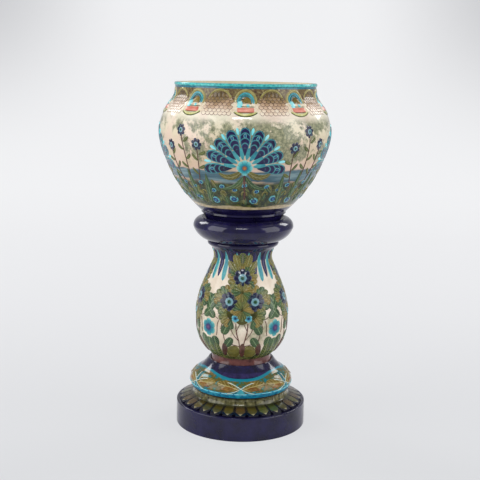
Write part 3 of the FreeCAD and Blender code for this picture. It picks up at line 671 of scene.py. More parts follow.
class Relief:
    """Relief motifs of one finish, gathered into one piece on one wall."""

    def __init__(self, name: str, wall: Wall, finish: Finish) -> None:
        """Starts an empty piece.

        Args:
            name: The piece's name.
            wall: The wall that it lies on.
            finish: Its finish.
        """
        self.name = name
        self.wall = wall
        self.finish = finish
        self.mesh = bmesh.new()
        self.uv = self.mesh.loops.layers.uv.new("motif")
        self.crest = self.mesh.verts.layers.float.new("crest")
        self.shade = self.mesh.verts.layers.float.new("shade")
        self.random = Random(name)
        self.count = 0

    def add(self, shape: Stroke | Band | Disc, spot: Spot) -> None:
        """Lays a motif on the wall.

        Args:
            shape: The motif.
            spot: Where it lies.
        """
        round_shape = isinstance(shape, Disc)
        if round_shape:
            columns = [index / shape.around for index in range(shape.around + 1)]
            rows: Sequence[float] = shape.rings
        else:
            columns = list(shape.section.value[0])
            rows = [index / shape.along for index in range(shape.along + 1)]
        grid = bmesh.ops.create_grid(self.mesh, x_segments=len(columns) - 1, y_segments=len(rows) - 1, size=0.5)["verts"]
        shade = self.random.random()
        shares: dict[bmesh.types.BMVert, Point] = {}
        for vertex in grid:
            column = round((vertex.co.x + 0.5) * (len(columns) - 1))
            row = round((vertex.co.y + 0.5) * (len(rows) - 1))
            u, v = columns[column], rows[row]
            crest = shape.height(u, v)
            if not round_shape:
                crest *= shape.section.value[1][column]
            x, z = spot.turned(*shape.at(u, v))
            lift = spot.lift - BED + (shape.rise * spot.size + BED) * crest
            vertex.co = self.wall.point(spot.azimuth, x * MM, z * MM, lift * MM)
            vertex[self.crest] = crest
            vertex[self.shade] = shade
            shares[vertex] = (u, v)
        faces = {face for vertex in grid for face in vertex.link_faces}
        self.face_outward(faces)
        for face in faces:
            face.smooth = True
            for loop in face.loops:
                loop[self.uv].uv = shares[loop.vert]
        self.count += 1

    def face_outward(self, faces: set) -> None:
        """Turns a motif's faces over if they look into the wall."""
        outward = 0.0
        for face in faces:
            face.normal_update()
            middle = face.calc_center_median()
            outward += face.normal.dot(Vector((middle.x, middle.y, 0.0))) * face.calc_area()
        if outward < 0.0:
            bmesh.ops.reverse_faces(self.mesh, faces=list(faces))

    def around(self, count: int, shape: Stroke | Band | Disc, spot: Spot) -> None:
        """Lays a motif evenly around the axis, from its spot on."""
        for index in range(count):
            azimuth = spot.azimuth + FULL_TURN / count * index
            self.add(shape, Spot(azimuth, spot.level, spot.across, spot.lean, spot.size, spot.side, spot.lift))

    def build(self) -> bpy.types.Object:
        """Makes the piece and lets it ride on its wall's body."""
        bmesh.ops.remove_doubles(self.mesh, verts=self.mesh.verts, dist=1e-6)
        piece = add_object(self.name, self.mesh)
        piece.data.materials.append(self.finish.material())
        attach(piece, self.wall.body.value)
        log.info("%s: %d motifs, %d faces", self.name, self.count, len(piece.data.polygons))
        return piece


def add_object(name: str, mesh: bmesh.types.BMesh) -> bpy.types.Object:
    """Turns a bmesh into an object of the scene, and frees it."""
    data = bpy.data.meshes.new(name)
    mesh.to_mesh(data)
    mesh.free()
    item = bpy.data.objects.new(name, data)
    bpy.context.scene.collection.objects.link(item)
    return item


def dress(node: str, material: bpy.types.Material) -> None:
    """Gives a CAD node its material."""
    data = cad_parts[node].data
    data.materials.clear()
    data.materials.append(material)
    log.info("%s: dressed with %s", node, material.name)


@dataclass
class Ornament:
    """The relief pieces of one sub-assembly.

    Attributes:
        wall: The wall that they lie on.
        pieces: The pieces so far, by name.
    """

    wall: Wall
    pieces: dict[str, Relief] = field(default_factory=dict)

    def piece(self, name: str, finish: Finish) -> Relief:
        """The piece of that name, started where it is new."""
        if name not in self.pieces:
            self.pieces[name] = Relief(name, self.wall, finish)
        return self.pieces[name]

    def build(self, stands_for: dict[str, tuple[str, ...]]) -> None:
        """Makes every piece.

        Args:
            stands_for: The CAD nodes that a piece stands for, by the piece's name.
        """
        for name, relief in self.pieces.items():
            piece = relief.build()
            if name in stands_for:
                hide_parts(*stands_for[name])


def straight(length: float, bow: float = 0.0, start: Point = (0.0, 0.0)) -> tuple[Point, Point, Point, Point]:
    """A spine straight up from a start, bowed sideways by some millimetres."""
    x, z = start
    return ((x, z), (x + bow, z + length * 0.33), (x + bow, z + length * 0.67), (x, z + length))


# Painted grounds of the thrown sections


@dataclass(frozen=True)
class BowlGround:
    """The bowl's painted ground: rim, sky, water, banks, foot and the cream inside.

    Attributes:
        name: The material's name.
        turn: Degrees from the front to the first rim arch.
    """

    name: str = "bowl_ground"
    turn: float = 0.0

    @made_once
    def material(self) -> bpy.types.Material:
        """The whole ground."""
        graph = Graph(self.name)
        azimuth, radius, level = graph.round()
        rough = graph.shift(level, 26.0, 7.0)
        fine = graph.noise(130.0, 4.0, 0.65)
        colour = self.belly(graph, azimuth, rough, fine)
        colour = self.rim(graph, azimuth, level, fine, colour)
        cream = graph.ramp(graph.noise(16.0, 3.0), [(0.3, srgb(226, 212, 178)), (0.7, srgb(240, 230, 206))])
        colour = graph.mix(self.inside(graph), colour, cream)
        lip = graph.ramp(fine, [(0.3, srgb(20, 132, 144)), (0.6, srgb(84, 204, 198))])
        outer = graph.step(radius, 183.5, 185.0)
        colour = graph.mix(graph.both(graph.step(level, 952.0, 953.2), outer), colour, lip)
        return graph.glaze(colour, 0.14)

    def inside(self, graph: Graph) -> Socket:
        """1 on the inner wall, by the way that the surface faces."""
        normal = graph.add("TexCoord").outputs["Normal"]
        flat = graph.add("VectorMath", {0: graph.place, 1: (1.0, 1.0, 0.0)}, operation="MULTIPLY").outputs[0]
        out = graph.add("VectorMath", {0: normal, 1: flat}, operation="DOT_PRODUCT").outputs["Value"]
        return graph.step(out, 0.0, -0.01)

    def belly(self, graph: Graph, azimuth: Socket, level: Socket, fine: Socket) -> Socket:
        """Sky, trees, water, banks and the navy foot, from the top down."""
        height = graph.math("MULTIPLY", graph.math("SUBTRACT", level, 740.0), 1.0 / 150.0)
        colour = graph.ramp(height, [(0.0, srgb(206, 178, 148)), (0.35, srgb(214, 194, 164)),
                                     (0.7, srgb(230, 219, 190)), (1.0, srgb(243, 236, 214))])
        blush = graph.both(graph.step(graph.noise(9.0, 2.0), 0.48, 0.62), 0.5)
        colour = graph.mix(blush, colour, srgb(232, 200, 188))
        clump = graph.step(graph.noise(14.0, 6.0, 0.72), 0.46, 0.54)
        crowns = graph.both(clump, graph.step(level, 748.0, 766.0), graph.step(level, 880.0, 856.0))
        leaves = graph.ramp(fine, [(0.35, srgb(66, 80, 56)), (0.5, srgb(116, 124, 92)), (0.68, srgb(176, 174, 138))])
        colour = graph.mix(graph.math("MULTIPLY", crowns, 0.86), colour, leaves)
        water = graph.ramp(graph.noise(10.0, 4.0, 0.6, (1.0, 1.0, 9.0)), [
            (0.32, srgb(34, 70, 84)), (0.5, srgb(74, 106, 118)), (0.68, srgb(120, 146, 150))])
        colour = graph.mix(graph.step(level, 742.0, 736.0), colour, water)
        shore = graph.both(graph.step(level, 712.0, 708.0), graph.step(graph.noise(6.0, 3.0, 0.6), 0.44, 0.56))
        colour = graph.mix(shore, colour, srgb(204, 172, 146))
        bank = graph.ramp(graph.noise(56.0, 5.0, 0.7), [
            (0.30, srgb(8, 22, 22)), (0.44, srgb(30, 46, 28)), (0.56, srgb(74, 80, 38)), (0.72, srgb(124, 122, 66))])
        colour = graph.mix(graph.step(level, 712.0, 700.0), colour, bank)
        return self.foot(graph, azimuth, colour)

    def foot(self, graph: Graph, azimuth: Socket, colour: Socket) -> Socket:
        """The beige line under the banks and the navy foot below it."""
        level = graph.round()[2]
        wave = graph.math("MULTIPLY", graph.math("SINE", graph.math("MULTIPLY", azimuth, 7.0)), 2.2)
        edge = graph.math("ADD", graph.shift(level, 40.0, 1.5), wave)
        beige = graph.ramp(graph.noise(60.0, 3.0), [(0.3, srgb(150, 128, 92)), (0.7, srgb(204, 188, 148))])
        colour = graph.mix(graph.step(edge, 640.0, 637.0), colour, beige)
        navy = graph.ramp(graph.noise(20.0, 3.0), [(0.3, NAVY.pooled), (0.7, NAVY.body)])
        return graph.mix(graph.step(level, 630.0, 628.6), colour, navy)

    def rim(self, graph: Graph, azimuth: Socket, level: Socket, fine: Socket, colour: Socket) -> Socket:
        """Cream under the arches, mottled brown between them, a teal line on top."""
        mottle = graph.ramp(graph.noise(170.0, 4.0, 0.7), [
            (0.30, srgb(48, 34, 34)), (0.45, srgb(100, 78, 58)), (0.58, srgb(122, 110, 66)), (0.72, srgb(190, 170, 134))])
        between = graph.waves(azimuth, 9.0, 0.4, self.turn + FULL_TURN / 18.0)
        low = graph.step(graph.shift(level, 90.0, 3.0), 884.0, 888.0)
        cream = graph.ramp(fine, [(0.35, srgb(222, 196, 166)), (0.65, srgb(246, 236, 212))])
        colour = graph.mix(low, colour, cream)
        high = graph.step(graph.shift(level, 60.0, 4.0), 908.0, 918.0)
        colour = graph.mix(graph.both(high, graph.step(between, 0.0, 0.3)), colour, mottle)
        colour = graph.mix(graph.step(graph.shift(level, 60.0, 2.0), 914.0, 920.0), colour, mottle)
        strip = graph.ramp(fine, [(0.3, srgb(12, 82, 112)), (0.7, srgb(54, 142, 158))])
        return graph.mix(graph.step(graph.shift(level, 50.0, 1.0), 946.5, 948.0), colour, strip)


@dataclass(frozen=True)
class StemGround:
    """The stem's pale ground, with navy tongues at the neck and green about the foot."""

    name: str = "stem_ground"

    @made_once
    def material(self) -> bpy.types.Material:
        """The whole ground."""
        graph = Graph(self.name)
        azimuth, _, level = graph.round()
        colour = graph.ramp(graph.noise(14.0, 3.0, 0.6), [
            (0.30, srgb(206, 190, 164)), (0.5, srgb(228, 212, 192)), (0.7, srgb(242, 232, 214))])
        haze = graph.both(graph.step(graph.noise(11.0, 4.0, 0.65), 0.50, 0.62), graph.step(level, 420.0, 380.0), 0.65)
        green = graph.ramp(graph.noise(90.0, 3.0), [(0.35, srgb(84, 98, 62)), (0.65, srgb(160, 162, 116))])
        colour = graph.mix(haze, colour, green)
        low = graph.step(graph.shift(level, 30.0, 9.0), 238.0, 222.0)
        colour = graph.mix(low, colour, graph.ramp(graph.noise(80.0, 4.0, 0.6), [
            (0.30, srgb(30, 48, 26)), (0.5, srgb(74, 86, 42)), (0.7, srgb(132, 128, 74))]))
        bumps = graph.waves(azimuth, 16.0, 0.8)
        edge = graph.math("ADD", graph.shift(level, 60.0, 2.5), graph.math("MULTIPLY", bumps, 30.0))
        navy = graph.ramp(graph.noise(60.0, 3.0), [(0.35, NAVY.pooled), (0.6, NAVY.body), (0.8, MAROON.body)])
        return graph.glaze(graph.mix(graph.step(edge, 478.0, 482.0), colour, navy), 0.14)


@dataclass(frozen=True)
class MouldingGround:
    """The base moulding's collar, violet band, leaf field and lower band."""

    name: str = "moulding_ground"

    @made_once
    def material(self) -> bpy.types.Material:
        """The whole ground."""
        graph = Graph(self.name)
        azimuth, _, level = graph.round()
        cloud = graph.noise(70.0, 4.0, 0.6)
        blue = graph.ramp(cloud, [(0.3, srgb(4, 74, 112)), (0.5, srgb(10, 124, 158)), (0.7, srgb(40, 168, 186))])
        field = graph.ramp(cloud, [(0.30, srgb(8, 92, 112)), (0.40, srgb(24, 118, 122)), (0.46, srgb(58, 88, 48)),
                                   (0.54, srgb(92, 84, 32)), (0.68, srgb(134, 98, 42))])
        turn = graph.math("ABSOLUTE", graph.math("SINE", graph.math("MULTIPLY", azimuth, 1.5)))
        dip = graph.math("MULTIPLY", graph.math("POWER", turn, 3.0), 13.0)
        rise = graph.math("SUBTRACT", level, dip)
        wobble = graph.shift(level, 40.0, 1.2)
        colour = graph.mix(graph.step(wobble, 122.0, 124.0), blue, field)
        colour = graph.mix(graph.step(rise, 151.0, 152.5), colour, TURQUOISE.body)
        violet = graph.ramp(cloud, [(0.3, srgb(20, 16, 50)), (0.7, srgb(48, 40, 90))])
        colour = graph.mix(graph.step(rise, 156.5, 157.5), colour, violet)
        navy = graph.ramp(cloud, [(0.3, NAVY.pooled), (0.7, NAVY.body)])
        colour = graph.mix(graph.step(level, 167.0, 169.0), colour, navy)
        return graph.glaze(graph.mix(graph.step(level, 109.0, 107.5), colour, navy), 0.13)


@dataclass(frozen=True)
class TongueGround:
    """The gadroon ring: tongues in mixed glazes with painted highlights as pale tips, painted shade by the inner edge,
    on a navy border.

    Attributes:
        name: The material's name.
        count: How many tongues there are.
    """

    name: str = "tongue_ground"
    count: int = 30

    @made_once
    def material(self) -> bpy.types.Material:
        """The tongues, their gaps, the painted shade and tip highlights, and the border."""
        graph = Graph(self.name)
        azimuth, radius, level = graph.round()
        turn = graph.math("MULTIPLY", azimuth, self.count / (2.0 * math.pi))
        number = graph.math("ROUND", turn)
        chance = graph.add("TexWhiteNoise", {"W": number}, noise_dimensions="1D").outputs["Value"]
        cloud = graph.noise(80.0, 3.0)
        mixed = graph.math("ADD", graph.math("MULTIPLY", chance, 0.7), graph.math("MULTIPLY", cloud, 0.3))
        colour = graph.ramp(mixed, [(0.12, srgb(62, 60, 22)), (0.35, srgb(92, 80, 32)), (0.55, srgb(86, 66, 34)),
                                    (0.72, srgb(60, 76, 30)), (0.88, srgb(116, 100, 50))])
        side = graph.math("ABSOLUTE", graph.math("SUBTRACT", turn, number))
        gap = graph.step(side, 0.30, 0.44)
        colour = graph.mix(graph.math("MULTIPLY", gap, 0.85), colour, srgb(24, 22, 30))
        # Painted shade: darker olive towards the inner edge, next to the fluted ring.
        inner = graph.both(graph.step(radius, 150.0, 142.0), 0.6)
        colour = graph.mix(inner, colour, srgb(34, 32, 20))
        share = graph.math("MULTIPLY", graph.math("SUBTRACT", radius, 160.0), 1.0 / 13.5)
        narrow = graph.math("SUBTRACT", 0.42, graph.math("MULTIPLY", graph.math("MAXIMUM", share, 0.0), 0.42))
        inward = graph.math("SUBTRACT", narrow, side)
        # Painted highlights: pale cream on the tongues' raised tips.
        tip = graph.both(graph.step(radius, 165.0, 171.0), graph.step(inward, 0.0, 0.05))
        colour = graph.mix(graph.both(tip, 0.8), colour, srgb(186, 178, 140))
        border = graph.both(graph.step(radius, 160.0, 162.0), graph.step(inward, 0.05, 0.0))
        return graph.glaze(graph.mix(border, colour, NAVY.pooled), 0.15)


@dataclass(frozen=True)
class FluteGround:
    """The fluted ring: grey-olive, darker in the flutes, with painted shade along its bottom."""

    name: str = "flute_ground"

    @made_once
    def material(self) -> bpy.types.Material:
        """The ribs and flutes."""
        graph = Graph(self.name)
        azimuth, _, level = graph.round()
        cloud = graph.noise(90.0, 3.0)
        colour = graph.ramp(cloud, [(0.3, srgb(56, 54, 26)), (0.5, srgb(92, 88, 50)), (0.7, srgb(136, 130, 88))])
        flute = graph.both(graph.waves(azimuth, 30.0, 3.0, 6.0), 0.55)
        colour = graph.mix(flute, colour, srgb(40, 40, 26))
        # Painted shade: darker at the bottom of the ring, where it meets the gadroon ring.
        colour = graph.mix(graph.both(graph.step(level, 88.0, 85.0), 0.7), colour, srgb(40, 46, 24))
        return graph.glaze(colour, 0.16)


@dataclass(frozen=True)
class ScaleGlaze:
    """Scales of the rim: cream below, browner towards the lip, each with a dark outline."""

    name: str = "net_scale_glaze"

    @made_once
    def material(self) -> bpy.types.Material:
        """The scales and their outlines."""
        graph = Graph(self.name)
        level = graph.round()[2]
        shade = graph.math("MULTIPLY", graph.fact("shade"), 12.0)
        share = graph.math("MULTIPLY", graph.math("SUBTRACT", graph.math("ADD", level, shade), 890.0), 1.0 / 50.0)
        colour = graph.ramp(share, [(0.0, srgb(246, 232, 210)), (0.30, srgb(222, 194, 168)),
                                    (0.55, srgb(182, 150, 118)), (0.8, srgb(136, 112, 72)), (1.0, srgb(98, 80, 50))])
        line = graph.ramp(share, [(0.1, srgb(126, 88, 72)), (0.7, srgb(56, 38, 30))])
        v = graph.across()[1]
        colour = graph.mix(graph.step(v, 0.72, 0.86), colour, line)
        return graph.glaze(colour, 0.15)


# The sub-assemblies


@dataclass
class RimFrieze:
    """Arches, scale nets, bars and crescents around the bowl's neck.

    Attributes:
        wall: The bowl's wall.
        count: How many arches there are.
        middle: Level of the arches' feet.
        half: Half an arch's width; not used.
        stretch: An arch's rise over half its width.
        pitch: Distance between two scales of a row.
        row: Distance between two rows.
    """

    wall: Wall
    count: int = 9
    middle: float = 912.0
    half: float = 30.0
    stretch: float = 1.16
    pitch: float = 11.4
    row: float = 7.4

    def arches(self, art: Ornament) -> None:
        """Nested arches with drops, each over a coral bar and a crescent."""
        spot = Spot(0.0, self.middle)
        rings = (("arch_rings", LINED_REED, 30.0, 23.4), ("arch_fans", LINED_TEAL, 23.0, 17.6), ("arch_bows", TEAL, 17.2, 13.4))
        for name, finish, outer, inner in rings:
            band = Band((0.0, 0.0), inner, outer, -90.0, 96.0, Section.DOME, 2.0, 18, self.stretch)
            art.piece(name, finish).around(self.count, band, spot)
        hump = Band((3.0, -1.0), 0.0, 13.0, -96.0, 104.0, Section.DOME, 1.9, 12, self.stretch)
        art.piece("arch_humps", OCHRE).around(self.count, hump, spot)
        drop = Disc(7.4, stretch=1.35, rise=2.1, around=20, rings=FEW_RINGS)
        art.piece("rim_drops", CYAN).around(self.count, drop, Spot(0.0, self.middle - 4.0, -15.0, 14.0))
        art.piece("rim_drops", CYAN).around(self.count, drop, Spot(0.0, self.middle - 7.0, 6.0, -50.0, 0.5))
        pearl = Disc(2.6, rise=1.6, around=12, rings=FEW_RINGS)
        for across, level in ((-22.0, 907.0), (-6.5, 906.0), (12.0, 905.0), (22.5, 906.5)):
            art.piece("rim_pearls", CREAM).around(self.count, pearl, Spot(0.0, level, across))

    def bars(self, art: Ornament) -> None:
        """The coral bar and the outlined crescent under each arch."""
        bar = Stroke(((-22.0, 0.0), (-8.0, -0.6), (8.0, -0.6), (22.0, 0.0)), 12.0, Taper.EVEN, Section.DOME, 1.9, 12)
        art.piece("coral_bars", CORAL).around(self.count, bar, Spot(0.0, 895.0))
        sickle = Stroke(((-30.0, 8.0), (-14.0, -3.6), (14.0, -3.6), (30.0, 8.0)), 6.6, Taper.ROUND, Section.DOME, 1.5, 16)
        art.piece("rim_sickles", CITRON).around(self.count, sickle, Spot(0.0, 883.5))
        line = Stroke(((-31.0, 7.0), (-15.0, -7.8), (15.0, -7.8), (31.0, 7.0)), 2.8, Taper.EVEN, Section.LINE, 1.6, 18)
        art.piece("rim_lines", MOSS).around(self.count, line, Spot(0.0, 882.5))
        thin = Stroke(((-24.0, 0.0), (-8.0, 0.0), (8.0, 0.0), (24.0, 0.0)), 1.8, Taper.EVEN, Section.LINE, 1.5, 8)
        for level in (902.4, 888.0):
            art.piece("rim_lines", MOSS).around(self.count, thin, Spot(0.0, level))

    def nets(self, art: Ornament) -> None:
        """Rows of scales between the arches, under a broad olive bow."""
        scale = Disc(6.9, stretch=0.94, rise=1.5, tilt=0.42, around=12, rings=FEW_RINGS)
        piece = art.piece("net_scales", ScaleGlaze())
        step = FULL_TURN / self.count
        random = Random(4)
        for index in range(self.count):
            for row in range(7):
                level = 886.5 + self.row * row
                half_width = 36.0 - 1.6 * max(row - 3, 0)
                shift = self.pitch / 2.0 if row % 2 else 0.0
                places = int((half_width - shift) / self.pitch)
                for place in range(-places - (1 if shift else 0), places + 1):
                    across = place * self.pitch + shift
                    jitter = random.uniform(-0.4, 0.4)
                    piece.add(scale, Spot(step * (index + 0.5), level + jitter, across + jitter, 0.0,
                                          random.uniform(0.94, 1.05), lift=0.03 * row))
        bow = Band((0.0, 0.0), 28.5, 34.5, -72.0, 72.0, Section.DOME, 1.9, 16, 1.02)
        art.piece("net_bows", LINED_REED).around(self.count, bow, Spot(step / 2.0, self.middle))

    def build(self) -> None:
        """Makes the frieze's pieces."""
        art = Ornament(self.wall)
        self.nets(art)
        self.arches(art)
        self.bars(art)
        art.build({"arch_rings": ("rim_arches",), "arch_fans": ("rim_fans",), "coral_bars": ("rim_pads",),
                   "rim_sickles": ("rim_crescents",), "net_scales": ("rim_nets",)})


@dataclass
class BellyFlowers:
    """Fan-shaped blooms around the bowl, with reeds, buds and a bank of leaves.

    Attributes:
        wall: The bowl's wall.
        count: How many blooms there are.
        heart: Level of a bloom's middle.
        petals: Petals of a bloom.
        spread: Degrees that they open over.
        start: Distance of the petals' feet from the middle.
        length: A petal's length.
        roundels: How many roundels the bank holds.
    """

    wall: Wall
    count: int = 4
    heart: float = 748.0
    petals: int = 9
    spread: float = 184.0
    start: float = 30.0
    length: float = 74.0
    roundels: int = 20

    def blooms(self, art: Ornament) -> None:
        """Petals in two rows, a ribbed heart, beads and a calyx."""
        step = self.spread / (self.petals - 1)
        for index in range(self.petals):
            lean = step * index - self.spread / 2.0
            petal = Stroke(straight(self.length + 2.0, 0.0, (0.0, self.start)), 30.0, Taper.PETAL, Section.DISHED, 2.1, 18)
            art.piece("lotus_petals", PETAL).around(self.count, petal, Spot(0.0, self.heart, 0.0, lean))
            eye = Disc(4.4, stretch=1.5, rise=1.4, around=14, rings=FEW_RINGS)
            angle = math.radians(lean)
            reach = self.start + self.length * 0.72
            art.piece("petal_eyes", ROUNDEL).around(self.count, eye, Spot(
                0.0, self.heart + reach * math.cos(angle), reach * math.sin(angle), lean, lift=0.75))
        for index in range(self.petals - 1):
            lean = step * (index + 0.5) - self.spread / 2.0
            inner = Stroke(straight(34.0, 0.0, (0.0, 21.0)), 12.0, Taper.LEAF, Section.RIBBED, 1.9, 10)
            art.piece("lotus_tongues", LINED_TEAL).around(self.count, inner, Spot(0.0, self.heart, 0.0, lean))
            tip = Stroke(straight(20.0, 0.0, (0.0, 86.0)), 8.0, Taper.LEAF, Section.DOME, 1.7, 8)
            art.piece("lotus_tips", CYAN).around(self.count, tip, Spot(0.0, self.heart, 0.0, lean))
        art.piece("lotus_hearts", HEART).around(
            self.count, Disc(21.5, 8, 0.12, rise=2.1, boss=0.25, around=48), Spot(0.0, self.heart))
        calyx = Stroke(((0.0, 0.0), (16.0, -22.0), (44.0, -24.0), (62.0, -2.0)), 17.0, Taper.BLADE, Section.RIBBED, 2.0, 18)
        frond = Stroke(((0.0, 0.0), (10.0, -26.0), (30.0, -40.0), (60.0, -34.0)), 14.0, Taper.BLADE, Section.RIBBED, 2.0, 16)
        stalk = Stroke(((0.0, -18.0), (-2.0, -40.0), (3.0, -64.0), (0.0, -92.0)), 6.0, Taper.EVEN, Section.DOME, 1.8, 14)
        for side in (-1.0, 1.0):
            art.piece("calyx_leaves", VEINED_OLIVE).around(self.count, calyx, Spot(0.0, self.heart - 8.0, 8.0, side=side))
            art.piece("calyx_fronds", VEINED_LEAF).around(self.count, frond, Spot(0.0, self.heart - 22.0, 3.0, side=side))
        art.piece("bloom_stalks", MAROON).around(self.count, stalk, Spot(0.0, self.heart))

    def reeds(self, art: Ornament) -> None:
        """Blades, thin stems with buds and drooping sprays between the blooms."""
        half = FULL_TURN / (2.0 * self.count)
        for side in (-1.0, 0.0, 1.0):
            blade = Stroke(straight(96.0 - 6.0 * abs(side), 5.0 * side), 19.0, Taper.BLADE, Section.RIBBED, 2.0, 18)
            art.piece("reed_blades", VEINED_LEAF).around(self.count, blade, Spot(half, 645.0, 31.0 * side, 16.0 * side))
        stems = ((0.0, 690.0, 150.0, 8.0, 0.0), (-16.0, 684.0, 118.0, -12.0, -14.0), (18.0, 684.0, 126.0, 10.0, 15.0))
        for across, level, length, bow, lean in stems:
            stem = Stroke(straight(length, bow), 3.2, Taper.EVEN, Section.LINE, 1.3, 18)
            spot = Spot(half, level, across, lean)
            art.piece("reed_stems", MAROON).around(self.count, stem, spot)
            x, z = spot.turned(0.0, length)
            bud = Disc(16.0, 7, 0.3, 1.05, 2.0, 0.2, around=42)
            art.piece("reed_flowers", ROSETTE).around(self.count, bud, Spot(half, z, x, lean))
            for share, side in ((0.35, -1.0), (0.5, 1.0), (0.66, -1.0), (0.8, 1.0)):
                x, z = spot.turned(bow * 0.7, length * share)
                leaf = Stroke(straight(25.0, 3.0 * side), 9.0, Taper.LEAF, Section.RIBBED, 1.6, 8)
                art.piece("reed_leaves", VEINED_MOSS).around(self.count, leaf, Spot(half, z, x, lean + 52.0 * side))

    def bank(self, art: Ornament) -> None:
        """Eyed roundels, scrolls and many small leaves on the lower wall."""
        step = FULL_TURN / self.roundels
        roundel = Disc(12.0, 6, 0.08, 0.80, 1.9, 0.2, around=30)
        eye = Disc(8.0, 6, 0.1, 0.72, 1.7, 0.2, around=20, rings=FEW_RINGS)
        scroll = Band((0.0, 0.0), 4.6, 8.4, -150.0, 120.0, Section.DOME, 1.6, 14)
        for index in range(self.roundels):
            azimuth = step * (index + 0.5)
            art.piece("eye_roundels", ROUNDEL).add(roundel, Spot(azimuth, 657.0 + 5.0 * (index % 2), 0.0, 16.0, lift=0.5))
            side = 1.0 if index % 2 else -1.0
            art.piece("bank_scrolls", LINED_OLIVE).add(scroll, Spot(azimuth + step / 2.0, 676.0, 0.0, 20.0, 1.0, side))
            for shift, level in ((1.0, 684.0), (9.0, 696.0)):
                art.piece("bank_eyes", ROUNDEL).add(eye, Spot(azimuth + shift, level + 4.0 * (index % 3), 0.0, -14.0, lift=0.4))
        random = Random(7)
        finishes = ((VEINED_OLIVE, "bank_leaves"), (VEINED_LEAF, "bank_ferns"), (VEINED_MOSS, "bank_sprays"))
        for index in range(150):
            finish, name = finishes[index % 3]
            size = random.uniform(0.75, 1.2)
            leaf = Stroke(straight(25.0, random.uniform(-4.0, 4.0)), 10.0, Taper.LEAF, Section.RIBBED, 1.6, 6)
            art.piece(name, finish).add(leaf, Spot(FULL_TURN * index / 150.0 + random.uniform(-2.0, 2.0),
                                                   random.uniform(642.0, 692.0), 0.0, random.uniform(-65.0, 65.0), size))

    def build(self) -> None:
        """Makes the belly's pieces."""
        art = Ornament(self.wall)
        self.bank(art)
        self.reeds(art)
        self.blooms(art)
        art.build({"lotus_petals": ("bloom_petals",), "lotus_hearts": ("bloom_hearts",),
                   "reed_blades": ("belly_blades",), "eye_roundels": ("belly_roundels",)})


